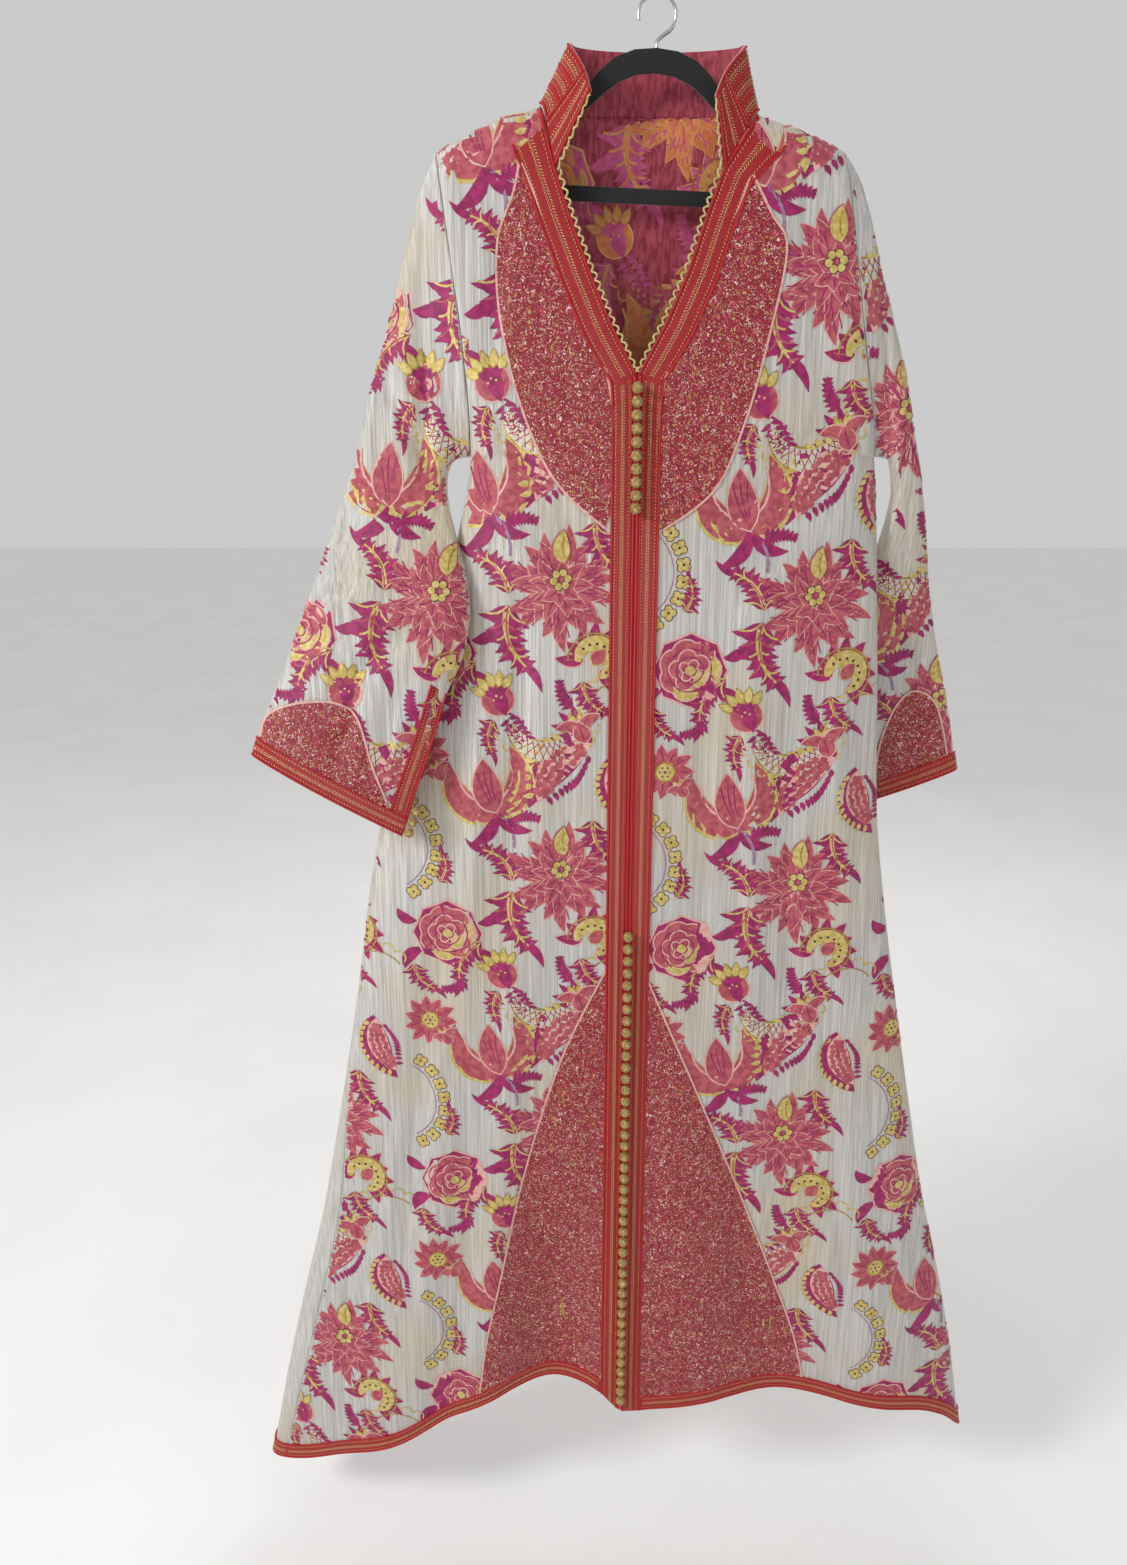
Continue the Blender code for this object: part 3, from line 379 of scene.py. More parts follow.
def front_columns(side, row, steps=range(FRONT_COLUMNS + 1)):
    """The places and heights of one front's row, from the side seam to the front edge."""
    sign = SIDE_SIGN[side]
    arm_step = row - 1 - SKIRT_ROWS
    edge_depth = 0.0
    if arm_step <= 0:
        seam_x = CENTRE_X + sign * SKIRT_HALF_WIDTH[0][1]
        edge_z = skirt_height(hem_z("front", seam_x), row)
        inner_x = CENTRE_X
        strip, braid = STRIP_WIDTH, BRAID_WIDTH
    else:
        edge_z, edge_depth = armhole_row(side, arm_step)
        inner_z, inner_x = neck_place(side, arm_step)
        if arm_step >= ARM_ROWS - 1:
            inner_z = shoulder_z(inner_x) - SHOULDER_STEP * (ARM_ROWS - arm_step)
        rise = smooth_step((arm_step - V_BOTTOM_ROW + 1) / 2)
        strip = STRIP_WIDTH + (NECK_STRIP_WIDTH - STRIP_WIDTH) * rise
        braid = BRAID_WIDTH + (NECK_BRAID_WIDTH - BRAID_WIDTH) * rise
    half_width = read_table(BODY_HALF_WIDTH[side], edge_z)
    roll = edge_roll(side, edge_z)
    braid_x = inner_x + sign * (strip + braid)
    braid_g = math.sqrt(max(1 - abs(braid_x - CENTRE_X) / half_width, 0.0))
    places = []
    for k in steps:
        g = roll + (braid_g - roll) * k / FRONT_COLUMNS
        places.append(CENTRE_X + sign * half_width * (1 - g * g))
    places.append(inner_x + sign * strip)
    places.append(inner_x + sign * SEAM / 2)
    heights = []
    for x in places:
        if arm_step <= 0:
            heights.append(skirt_height(hem_z("front", x), row))
            continue
        share = (x - places[0]) / (places[-1] - places[0])
        straight = edge_z + (inner_z - edge_z) * share
        tip_line = shoulder_z(places[0]) + (shoulder_z(places[-1]) - shoulder_z(places[0])) * share
        weight = smooth_step((arm_step - TOP_BLEND_START) / TOP_BLEND_ROWS)
        heights.append(straight + (shoulder_z(x) - tip_line) * weight)
    return places, heights, half_width, edge_depth


def front_grid(side, row_list, steps):
    """Outer points of one front, by rows from the hem to the shoulder."""
    rows = []
    for row in row_list:
        places, heights, half_width, edge_depth = front_columns(side, row, steps)
        line = []
        for x, z in zip(places, heights):
            line.append([x, body_y("front", x, z, half_width, edge_depth), z])
        if row <= 1 + SKIRT_ROWS:
            line[0][1] = min(line[0][1], 0.0) - SEAM / 2
        if row == TOP_ROW:
            for point in line:
                point[1] = -SEAM / 2
        rows.append(line)
    return np.array(rows)


def back_columns(side, row, share_list):
    """Signed steps round one half of the back's row, from the side seam to the neck's line."""
    sign = SIDE_SIGN[side]
    arm_step = row - 1 - SKIRT_ROWS
    edge_depth = 0.0
    if arm_step <= 0:
        seam_x = CENTRE_X + sign * SKIRT_HALF_WIDTH[0][1]
        edge_z = skirt_height(hem_z("front", seam_x), row)
    else:
        edge_z, edge_depth = armhole_row(side, arm_step)
    half_width = read_table(BODY_HALF_WIDTH[side], edge_z)
    roll = edge_roll(side, edge_z)
    neck_g = -math.sqrt(1 - NECK_LINE_SHARE[side])
    steps = []
    for share in share_list:
        g = roll + (neck_g - roll) * share
        steps.append((CENTRE_X + sign * half_width * (1 - g * g), g > 0))
    return steps, edge_z, half_width, edge_depth, arm_step


def back_height(x, ahead, row, edge_z, edge_x, arm_step):
    if arm_step <= 0:
        return skirt_height(hem_z("front" if ahead else "back", x), row)
    neck = neck_edge(x)
    top = back_neck_z(*neck) if neck else shoulder_z(x)
    share = (edge_z - ARMPIT_Z) / (shoulder_z(edge_x) - ARMPIT_Z)
    return ARMPIT_Z + (top - ARMPIT_Z) * share


def back_grid(row_list, side_steps, middle_steps):
    """Outer points of the back, by rows from the hem to the shoulder, right seam to left seam."""
    rows = []
    share_list = [k / side_steps for k in range(side_steps + 1)]
    for row in row_list:
        halves, widths = {}, {}
        for side in SIDES:
            steps, edge_z, half_width, edge_depth, arm_step = back_columns(side, row, share_list)
            widths[side] = half_width
            line = []
            for x, ahead in steps:
                z = back_height(x, ahead, row, edge_z, steps[0][0], arm_step)
                panel = "front" if ahead else "back"
                line.append([x, body_y(panel, x, z, half_width, edge_depth), z])
            if row <= 1 + SKIRT_ROWS:
                line[0][1] = min(line[0][1], 0.0) + SEAM / 2
            halves[side] = line
        first, last = halves["right"][-1], halves["left"][-1]
        middle = []
        for k in range(1, middle_steps):
            x = first[0] + (last[0] - first[0]) * k / middle_steps
            z = back_height(x, False, row, edge_z, steps[0][0], arm_step)
            half_width = widths["right" if x < CENTRE_X else "left"]
            middle.append([x, body_y("back", x, z, half_width, edge_depth), z])
        if row == TOP_ROW:
            for point in halves["right"] + halves["left"]:
                point[1] = SEAM / 2
        rows.append(halves["right"] + middle + halves["left"][::-1])
    return np.array(rows)


def sleeve_ring(side, ring_number):
    """Points round one ring, from the inner fold along the front, over the outer fold and back."""
    outer_x, outer_z, inner_x, inner_z, half_depth = SLEEVE_RINGS[side][ring_number - 1]
    middle = Vector(((outer_x + inner_x) / 2, 0, (outer_z + inner_z) / 2))
    half_axis = Vector(((outer_x - inner_x) / 2, 0, (outer_z - inner_z) / 2))
    in_slit = ring_number > SLIT_RING
    line = []
    for step in range(2 * ARM_ROWS + 1):
        turn = math.pi * step / ARM_ROWS
        along = -math.cos(turn)
        open_half = SLIT_HALF_GAP if in_slit and along < 0 else 0.0
        power = SLIT_POWER if open_half else SLEEVE_POWER
        swell = (1 - min(abs(along), 1.0) ** power) ** (1 / power)
        depth = open_half + (half_depth - open_half) * swell
        sign = -1 if step < ARM_ROWS else 1
        point = middle + half_axis * along
        point.y = SIDE_SIGN[side] * read_table(SLEEVE_SWING, point.z) + sign * depth
        line.append(tuple(point))
    return line


# Shells: rows between the body's own rows, columns, thickness and the lift of what lies on them
HEM_STEPS = 4
SKIRT_STEPS = 8
ARM_STEPS = 7
FRONT_STEPS = 84
BACK_SIDE_STEPS = 56
BACK_MIDDLE_STEPS = 60
SLEEVE_ROW_STEPS = 6
SLEEVE_COLUMN_STEPS = 5
SHELL_THICK = 0.0011
WELD_REACH = 0.00002
FIGURE_LIFT = 0.00030
LEVEL_LIFT = 0.00010
SPECKLE_LIFT = 0.00125

# Creases of the body: panel, start x and z, end x and z, half width, depth (inwards where positive)
CREASES = (
    ("front", -0.060, -0.480, -0.175, -0.340, 0.020, 0.0040),
    ("front", -0.070, -0.560, -0.170, -0.430, 0.018, -0.0035),
    ("front", 0.050, -0.500, 0.190, -0.350, 0.020, 0.0040),
    ("front", 0.070, -0.600, 0.215, -0.430, 0.022, -0.0040),
    ("front", -0.120, -0.520, -0.150, -0.900, 0.018, 0.0045),
    ("front", -0.170, -0.640, -0.200, -1.050, 0.016, -0.0035),
    ("front", -0.075, -0.600, -0.085, -1.000, 0.014, 0.0035),
    ("front", -0.230, -0.900, -0.290, -1.480, 0.020, 0.0050),
    ("front", -0.270, -1.120, -0.350, -1.560, 0.016, -0.0040),
    ("front", 0.060, -0.560, 0.070, -1.060, 0.015, 0.0040),
    ("front", 0.110, -0.500, 0.130, -1.150, 0.018, -0.0045),
    ("front", 0.150, -0.620, 0.175, -1.100, 0.014, 0.0040),
    ("front", 0.195, -0.560, 0.235, -1.020, 0.018, -0.0040),
    ("front", 0.210, -0.980, 0.270, -1.480, 0.020, 0.0050),
    ("front", 0.290, -1.100, 0.360, -1.560, 0.018, -0.0045),
    ("front", 0.120, -1.160, 0.145, -1.520, 0.020, 0.0040),
    ("front", -0.140, -0.190, -0.160, -0.330, 0.014, 0.0030),
    ("front", 0.140, -0.190, 0.165, -0.330, 0.014, 0.0030),
    ("back", -0.150, -0.420, -0.040, -0.300, 0.022, 0.0040),
    ("back", 0.190, -0.430, 0.060, -0.310, 0.022, 0.0040),
    ("back", -0.110, -0.480, -0.160, -1.100, 0.020, 0.0050),
    ("back", 0.000, -0.420, 0.010, -1.200, 0.024, -0.0045),
    ("back", 0.090, -0.500, 0.140, -1.050, 0.018, 0.0045),
    ("back", -0.220, -0.900, -0.310, -1.500, 0.020, -0.0045),
    ("back", 0.210, -0.850, 0.280, -1.500, 0.022, 0.0050),
    ("back", -0.060, -1.000, -0.080, -1.540, 0.018, 0.0045),
)

# Creases of a sleeve: side, start x and z, end x and z, half width, depth
SLEEVE_CREASES = (
    ("right", -0.215, -0.200, -0.225, -0.430, 0.012, 0.0035),
    ("right", -0.200, -0.440, -0.262, -0.330, 0.012, 0.0040),
    ("right", -0.205, -0.500, -0.300, -0.440, 0.013, -0.0035),
    ("right", -0.235, -0.560, -0.330, -0.640, 0.014, 0.0040),
    ("right", -0.262, -0.520, -0.345, -0.560, 0.013, -0.0030),
    ("right", -0.285, -0.600, -0.330, -0.735, 0.012, 0.0035),
    ("right", -0.230, -0.610, -0.275, -0.740, 0.012, -0.0030),
    ("left", 0.212, -0.210, 0.240, -0.420, 0.012, 0.0035),
    ("left", 0.246, -0.440, 0.262, -0.380, 0.010, 0.0030),
    ("left", 0.250, -0.500, 0.300, -0.560, 0.012, -0.0030),
    ("left", 0.262, -0.560, 0.312, -0.640, 0.013, 0.0038),
    ("left", 0.290, -0.620, 0.322, -0.750, 0.012, 0.0035),
    ("left", 0.240, -0.620, 0.262, -0.770, 0.012, -0.0030),
)

# Crinkles that run down the cloth: number on a panel, half width, height
CRINKLES = 95
CRINKLE_HALF = 0.0065
CRINKLE_HEIGHT = 0.00085
CRINKLE_LENGTH = (0.08, 0.36)
CRINKLE_SWAY = (0.001, 0.004)
CRINKLE_WAVES = 21
CRINKLE_FLARE = 0.28
CALM_STEPS = 8

# Seeds of the crinkles and the buttons, and the steps kept calm: left, right, foot and top
FRONT_SEED = 11
BACK_SEED = 21
SLEEVE_SEED = 31
BUTTON_SEED = 5
FRONT_CALM = (5, 3, HEM_STEPS, 4)
BACK_CALM = (8, 8, HEM_STEPS, 4)
SLEEVE_CALM = (4, 4, 6, 8)

# Colours of the woven figures, by number
OUTLINE, MAGENTA, SALMON, BLUSH, YELLOW, GOLD, MAUVE, IVORY = range(8)

# The brocade's repeat: motif, place across and up, turn in degrees, size
REPEAT_WIDTH = 0.270
REPEAT_HEIGHT = 0.312
REPEAT = (
    ("peony", 0.180, 0.158, 10, 1.12),
    ("rose", 0.055, 0.091, 0, 1.12),
    ("acanthus", 0.129, 0.148, 125, 0.85),
    ("acanthus", 0.129, 0.148, -80, 1.15),
    ("acanthus", 0.097, 0.085, -125, 0.90),
    ("bud", 0.115, 0.043, 20, 1.05),
    ("acanthus", 0.113, 0.024, -100, 0.60),
    ("half_moon", 0.216, 0.085, -35, 1.10),
    ("acanthus", 0.203, 0.067, -60, 0.70),
    ("lotus", 0.203, 0.007, 20, 1.10),
    ("lattice", 0.165, 0.026, 170, 0.85),
    ("sprig", 0.196, 0.032, 112, 0.80),
    ("scale_leaf", 0.214, 0.314, 222, 1.15),
    ("scale_leaf", 0.236, 0.296, -78, 0.90),
    ("tulip", 0.104, 0.259, 15, 1.25),
    ("sprig", 0.122, 0.221, 0, 0.80),
    ("clover", -0.016, 0.190, 0, 1.00),
    ("acanthus", 0.216, 0.229, -70, 0.85),
    ("daisy", 0.032, 0.294, 0, 1.05),
    ("acanthus", 0.016, 0.056, -60, 0.65),
    ("lotus", 0.052, 0.272, 30, 0.70),
    ("loops", 0.243, 0.028, 60, 0.95),
    ("acanthus", 0.045, 0.149, 75, 0.55),
    ("sprig", 0.077, 0.037, -160, 0.75),
)

# Speckled zones, the yoke and the godet of each front: the edge at the braid, then the outer edge
FRONT_ZONES = {
    "right": (
        (
            (-0.124, -0.140, -0.126, -0.140), (-0.112, -0.166, -0.132, -0.166),
            (-0.098, -0.200, -0.147, -0.206), (-0.074, -0.255, -0.146, -0.266),
            (-0.047, -0.310, -0.128, -0.347), (-0.034, -0.380, -0.094, -0.421),
            (-0.034, -0.440, -0.044, -0.468),
        ),
        (
            (-0.034, -0.942, -0.036, -0.946), (-0.034, -1.050, -0.088, -1.062),
            (-0.034, -1.200, -0.134, -1.222), (-0.034, -1.350, -0.160, -1.350),
            (-0.034, -1.460, -0.180, -1.450), (-0.034, -1.535, -0.192, -1.545),
        ),
    ),
    "left": (
        (
            (0.088, -0.148, 0.090, -0.150), (0.080, -0.170, 0.108, -0.182),
            (0.066, -0.202, 0.124, -0.212), (0.046, -0.250, 0.112, -0.284),
            (0.018, -0.306, 0.092, -0.365), (0.006, -0.380, 0.064, -0.431),
            (0.006, -0.440, 0.014, -0.470),
        ),
        (
            (0.006, -0.960, 0.010, -0.964), (0.006, -1.080, 0.072, -1.112),
            (0.006, -1.230, 0.132, -1.262), (0.006, -1.380, 0.176, -1.380),
            (0.006, -1.470, 0.204, -1.460), (0.006, -1.560, 0.222, -1.545),
        ),
    ),
}
CUFF_ZONES = {
    "right": (
        (-0.405, -0.690, -0.398, -0.677), (-0.390, -0.700, -0.388, -0.654),
        (-0.360, -0.716, -0.356, -0.641), (-0.330, -0.732, -0.318, -0.641),
        (-0.300, -0.748, -0.296, -0.657), (-0.275, -0.760, -0.284, -0.704),
        (-0.268, -0.764, -0.270, -0.747),
    ),
    "left": (
        (0.262, -0.764, 0.262, -0.762), (0.280, -0.758, 0.268, -0.700),
        (0.300, -0.750, 0.284, -0.658), (0.318, -0.744, 0.306, -0.648),
        (0.334, -0.738, 0.328, -0.668), (0.348, -0.732, 0.345, -0.722),
    ),
}
ZONE_STEPS = 70
ZONE_COLUMNS = 26
ZONE_RIM = 0.0011

# Braid: steps along it, its cords, and how many rows short of the shoulder the neck braid ends
BRAID_STEP = 0.004
CORD_RADIUS = 0.0013
CORD_HEIGHT = 0.0012
NECK_BRAID_SHORT = 0.35

# Stitches: the small slanted ones, then the dense chevrons
STITCH_PITCH = 0.0034
STITCH_HALF = 0.00042
SMALL_BACK = 0.0010
SMALL_AHEAD = 0.0012
SMALL_REACH = 0.0011
SMALL_HEIGHT = 0.0016
SMALL_RISE = 0.0006
DENSE_PITCH = STITCH_PITCH * 0.80
DENSE_HALF = STITCH_HALF * 1.15
DENSE_BACK = 0.0018
DENSE_AHEAD = 0.0012
DENSE_FOOT = 0.0017
DENSE_TOP = 0.0018
DENSE_RISE = 0.0007

# Shares across a braid: its cords, its rows of small stitches and its rows of chevrons
FRONT_LAYOUT = ((0.05, 0.95), (0.20, 0.86), (0.55,))
NECK_LAYOUT = ((0.05, 0.95), (0.18, 0.84), (0.52,))
HEM_LAYOUT = ((0.06, 0.94), (0.20, 0.82), (0.50,))
SLIT_LAYOUT = ((0.07, 0.93), (0.24, 0.80), (0.52,))
COLLAR_LAYOUT = ((0.03, 0.33, 0.66, 0.97), (0.09, 0.27, 0.39, 0.60, 0.72, 0.91), (0.18, 0.50, 0.81))

# Sections of a braid and of an edge strip: shares across and heights
BASE_SHARES = np.array((0, 0.02, 0.10, 0.25, 0.50, 0.75, 0.90, 0.98, 1))
BASE_HEIGHTS = np.array((-0.0004, 0.0009, 0.0014, 0.0017, 0.0018, 0.0017, 0.0014, 0.0009, -0.0004))
STRIP_SHARES = np.array((0, 0.1, 0.5, 0.9, 1.0))
STRIP_HEIGHTS = np.array((-0.0004, 0.0016, 0.0019, 0.0016, -0.0004))
STRIP_STEPS = 400
HEM_COLUMNS = 90

# Knots of the ball buttons
BALL_RELIEF = 0.13
BALL_RINGS = 13
BALL_SIDES = 22
BALL_LEAN = (-0.5, 0.5)

# Picot cord along the neck
PICOT_PITCH = 0.0085
PICOT_REACH = 0.0038
PICOT_RADIUS = 0.0012
PICOT_INSET = 0.002
PICOT_POINTS = 9

# The camera, fitted to the photo's perspective
CAMERA_PLACE = (-0.085, -1.181, -0.383)
CAMERA_PITCH_DOWN = 16.9
CAMERA_LENS = 26.0
CAMERA_SENSOR = 36
FLOOR_Z = -1.755
FLOOR_CORNERS = ((-9, -9), (9, -9), (9, 14), (-9, 14))


def fine_rows():
    rows = [k / HEM_STEPS for k in range(HEM_STEPS)]
    rows += [1 + k / SKIRT_STEPS for k in range(SKIRT_ROWS * SKIRT_STEPS)]
    rows += [1 + SKIRT_ROWS + k / ARM_STEPS for k in range(ARM_ROWS * ARM_STEPS + 1)]
    return rows


def refine_axis(points, steps):
    """Points on a smooth curve through the first axis of an array."""
    last = len(points) - 1
    before = np.concatenate([points[:1], points[:-2]]) if last > 1 else points[:1]
    after = np.concatenate([points[2:], points[-1:]]) if last > 1 else points[-1:]
    start, end = points[:-1], points[1:]
    slope_in = (end - before) / 2
    slope_out = (after - start) / 2
    out = []
    for k in range(steps):
        t = k / steps
        blend = t * t * (3 - 2 * t)
        swing_in, swing_out = t * (1 - t) ** 2, t * t * (1 - t)
        out.append(start * (1 - blend) + end * blend + slope_in * swing_in - slope_out * swing_out)
    fine = np.stack(out, axis=1).reshape((last * steps,) + points.shape[1:])
    return np.concatenate([fine, points[-1:]])


def refine(points, row_steps, column_steps):
    rows = refine_axis(points, row_steps)
    return refine_axis(rows.swapaxes(0, 1), column_steps).swapaxes(0, 1)


def unit(vectors):
    """Vectors brought to length one, along an array's last axis."""
    return vectors / np.maximum(np.linalg.norm(vectors, axis=-1, keepdims=True), 1e-9)


def grid_normals(points, outward):
    """Normals of an array of points, turned so that the middle one faces the outward direction."""
    along = np.gradient(points, axis=0)
    across = np.gradient(points, axis=1)
    normals = unit(np.cross(across, along))
    middle = normals[len(points) // 2, points.shape[1] // 2]
    return normals if middle.dot(outward) > 0 else -normals


def segment_distance(x, z, x0, z0, x1, z1):
    dx, dz = x1 - x0, z1 - z0
    share = np.clip(((x - x0) * dx + (z - z0) * dz) / (dx * dx + dz * dz), 0, 1)
    return np.hypot(x - x0 - dx * share, z - z0 - dz * share), share


def crease_depth(rows, key, x, z):
    """Depth of the creases whose first column is the key, at arrays of places."""
    total = np.zeros_like(x)
    for owner, x0, z0, x1, z1, half, depth in rows:
        if owner == key:
            distance, share = segment_distance(x, z, x0, z0, x1, z1)
            taper = np.sin(np.pi * np.clip(share, 0.02, 0.98)) ** 0.6
            total += depth * taper * np.exp(-((distance / half) ** 2) * 1.8)
    return total


def crinkle_height(seed, x, z, low_x, high_x, low_z, high_z):
    """Uneven soft ridges that run down the cloth."""
    dice = random.Random(seed)
    total = np.zeros_like(x)
    for _ in range(CRINKLES):
        top_x = dice.uniform(low_x, high_x)
        start = dice.uniform(low_z, high_z)
        length = dice.uniform(*CRINKLE_LENGTH)
        half = CRINKLE_HALF * dice.uniform(0.7, 1.3)
        height = CRINKLE_HEIGHT * dice.uniform(0.4, 1.0) * dice.choice((-1, 1))
        sway, phase = dice.uniform(*CRINKLE_SWAY), dice.uniform(0, 6.28)
        flare = 1 + (start - z) * CRINKLE_FLARE
        middle = CENTRE_X + (top_x - CENTRE_X) * flare + sway * np.sin(z * CRINKLE_WAVES + phase)
        share = (z - start) / length
        taper = np.where(np.abs(share) < 1, np.cos(np.clip(share, -1, 1) * np.pi / 2) ** 2, 0)
        total += height * taper * np.exp(-(((x - middle) / half) ** 2) * 1.6)
    return total


def grid_faces(rows, columns):
    index = np.arange(rows * columns).reshape(rows, columns)
    faces = np.stack([index[:-1, :-1], index[:-1, 1:], index[1:, 1:], index[1:, :-1]], axis=-1)
    return faces.reshape(-1, 4)


def put_in_scene(name, data):
    item = bpy.data.objects.new(name, data)
    bpy.context.scene.collection.objects.link(item)
    return item


def edit_mesh(item, work):
    """Let a function change a piece's mesh."""
    mesh = bmesh.new()
    mesh.from_mesh(item.data)
    work(mesh)
    mesh.to_mesh(item.data)
    mesh.free()


def new_object(name, points, faces, materials, slots=None):
    mesh = bpy.data.meshes.new(name + "_look")
    mesh.from_pydata([tuple(p) for p in points], [], [tuple(int(i) for i in f) for f in faces])
    for material in materials:
        mesh.materials.append(material)
    if slots is not None:
        mesh.polygons.foreach_set("material_index", np.array(slots, dtype=np.int32))
    mesh.shade_smooth()
    mesh.update()
    return put_in_scene(name + "_look", mesh)


def wear(item, nodes=()):
    """Hang a piece on the garment and hide the solids that it stands for."""
    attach(item, "root")
    if nodes:
        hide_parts(*nodes)
    return item


def cloth_shell(name, points, normals, nodes, materials, weld=False):
    """A shell of cloth: its face on the given points and its wrong side on the inner layer."""
    rows, columns = points.shape[:2]
    faces = grid_faces(rows, columns)
    corner = points[rows // 2, columns // 2]
    across = points[rows // 2, columns // 2 + 1] - corner
    along = points[rows // 2 + 1, columns // 2] - corner
    if np.cross(across, along).dot(normals[rows // 2, columns // 2]) < 0:
        faces = faces[:, ::-1]
    item = new_object(name, points.reshape(-1, 3), faces, materials)
    if weld:
        edit_mesh(item, lambda mesh: bmesh.ops.remove_doubles(mesh, verts=mesh.verts, dist=WELD_REACH))
    wall = item.modifiers.new("wall", "SOLIDIFY")
    wall.thickness = SHELL_THICK
    wall.offset = -1
    wall.material_offset = len(materials) - 1
    wall.material_offset_rim = 0
    return wear(item, nodes)


def surface_tree(item):
    mesh = item.data
    points = [v.co.copy() for v in mesh.vertices]
    return BVHTree.FromPolygons(points, [tuple(p.vertices) for p in mesh.polygons])


# Where the repeat starts on each panel, and how far it leans, in degrees
FRONT_SHIFT = {"right": (-0.2685, -0.6860), "left": (-0.0095, -0.7026)}
BACK_SHIFT = (-0.150, -0.240)
SLEEVE_SHIFT = {"right": (-0.430, -0.640), "left": (0.120, -0.560)}
SLEEVE_LEAN = {"right": -16, "left": 14}

# Stretches that the repeat is laid over: lowest x and z, then highest x and z
FRONT_STRETCH = {
    "right": ((-0.47, -1.66), (CENTRE_X, -0.08)),
    "left": ((CENTRE_X, -1.66), (0.45, -0.08)),
}
BACK_STRETCH = ((-0.47, -1.67), (0.44, -0.08))
NECK_STRETCH = ((-0.12, -0.36), (0.10, -0.10))
HEM_STRETCH = ((-0.24, -1.64), (0.20, -1.52))
HEM_STRETCH_TOP = -1.53
SLEEVE_STRETCH = {
    "right": ((-0.42, -0.81), (-0.17, -0.12)),
    "left": ((0.17, -0.81), (0.37, -0.12)),
}

# Studio lights: name, place, aim, power, size
LAMPS = (
    ("key", (-2.3, -1.5, 0.8), (0, 0, -0.7), 54, 0.8),
    ("fill", (2.0, -2.4, 0.2), (0, 0, -0.8), 5, 2.2),
    ("back_light", (0.6, 2.2, 0.8), (0, 0, -0.5), 20, 1.8),
)
WORLD_LIGHT = 0.64
WORLD_COLOUR = (0.93, 0.93, 0.94, 1)

# Half widths above which a ribbon gets five lanes of points, or three
WIDE_HALF = 0.0072
MIDDLE_HALF = 0.0030


class Figures:
    """Flat shapes of the woven pattern, in metres, each with its colour and its level."""

    def __init__(self):
        self.points, self.levels, self.faces, self.colours = [], [], [], []
        self.count = 0
        self.place((0, 0), 0, 1)

    def place(self, spot, turn, size):
        cosine, sine = math.cos(turn) * size, math.sin(turn) * size
        self.frame = np.array(((cosine, sine), (-sine, cosine)))
        self.spot = np.array(spot)

    def add(self, points, faces, colour, level):
        points = np.asarray(points) @ self.frame + self.spot
        self.points.append(points)
        self.levels.append(np.full(len(points), level))
        self.faces += [tuple(i + self.count for i in face) for face in faces]
        self.colours += [colour] * len(faces)
        self.count += len(points)

    def ribbon(self, path, half, colour, level):
        """A strip along a path, with one half width or one for each point."""
        path = np.asarray(path, dtype=float)
        along = unit(np.gradient(path, axis=0))
        side = np.stack([-along[:, 1], along[:, 0]], axis=1) * np.reshape(half, (-1, 1))
        lanes = (1, -1)
        if np.max(half) > WIDE_HALF:
            lanes = (1, 0.5, 0, -0.5, -1)
        elif np.max(half) > MIDDLE_HALF:
            lanes = (1, 0, -1)
        points = np.stack([path + side * lane for lane in lanes], axis=1).reshape(-1, 2)
        faces = []
        across = len(lanes)
        for k in range(len(path) - 1):
            for j in range(across - 1):
                a = across * k + j
                faces.append((a, a + across, a + across + 1, a + 1))
        self.add(points, faces, colour, level)

    def petal(self, base, tip, width, colour, level, bend=0.0, blunt=1.0, steps=7):
        base, tip = np.array(base, dtype=float), np.array(tip, dtype=float)
        axis = tip - base
        side = np.array((-axis[1], axis[0]))
        t = np.linspace(0, 1, steps + 1)[:, None]
        path = base + axis * t + side * bend * 4 * t * (1 - t)
        share = t[:, 0]
        half = width / 2 * np.sin(np.pi * share ** blunt) ** 0.8
        self.ribbon(path, np.maximum(half, width * 0.02), colour, level)
        return path

    def vein(self, start, end, bend, half, colour, level, steps=6):
        """A thin strip along an arched line."""
        self.ribbon(arc_line(start, end, bend, steps), half, colour, level)

    def edged(self, base, tip, width, fill, edge, level, bend=0.0, blunt=1.0, rim=0.0012, steps=7):
        """A petal with a thin edge of another colour."""
        base, tip = np.array(base, dtype=float), np.array(tip, dtype=float)
        reach = (tip - base) / max(np.linalg.norm(tip - base), 1e-9) * rim
        self.petal(base - reach, tip + reach, width + 2 * rim, edge, level, bend, blunt, steps)
        return self.petal(base, tip, width, fill, level + 1, bend, blunt, steps)

    def disc(self, centre, radius, colour, level, sides=12, lobes=0, lobe_depth=0.0):
        turn = np.linspace(0, 2 * math.pi, sides, endpoint=False)
        reach = radius * (1 + lobe_depth * np.cos(turn * lobes)) if lobes else radius
        ring = np.stack([np.cos(turn), np.sin(turn)], axis=1) * np.reshape(reach, (-1, 1))
        points = np.concatenate([[[0, 0]], ring * 0.5, ring]) + np.array(centre)
        faces = []
        for k in range(sides):
            j = (k + 1) % sides
            faces.append((0, 1 + k, 1 + j))
            faces.append((1 + k, 1 + sides + k, 1 + sides + j, 1 + j))
        self.add(points, faces, colour, level)

    def sector(self, inner, outer, start, end, colour, level, steps=14):
        """A crescent between an inner and an outer radius, widest halfway."""
        turn = np.linspace(start, end, steps + 1)
        swell = np.sin(np.linspace(0.06, 0.94, steps + 1) * np.pi) ** 0.7
        middle, half = (inner + outer) / 2, (outer - inner) / 2 * swell
        path = np.stack([np.cos(turn), np.sin(turn)], axis=1) * middle
        self.ribbon(path, half, colour, level)


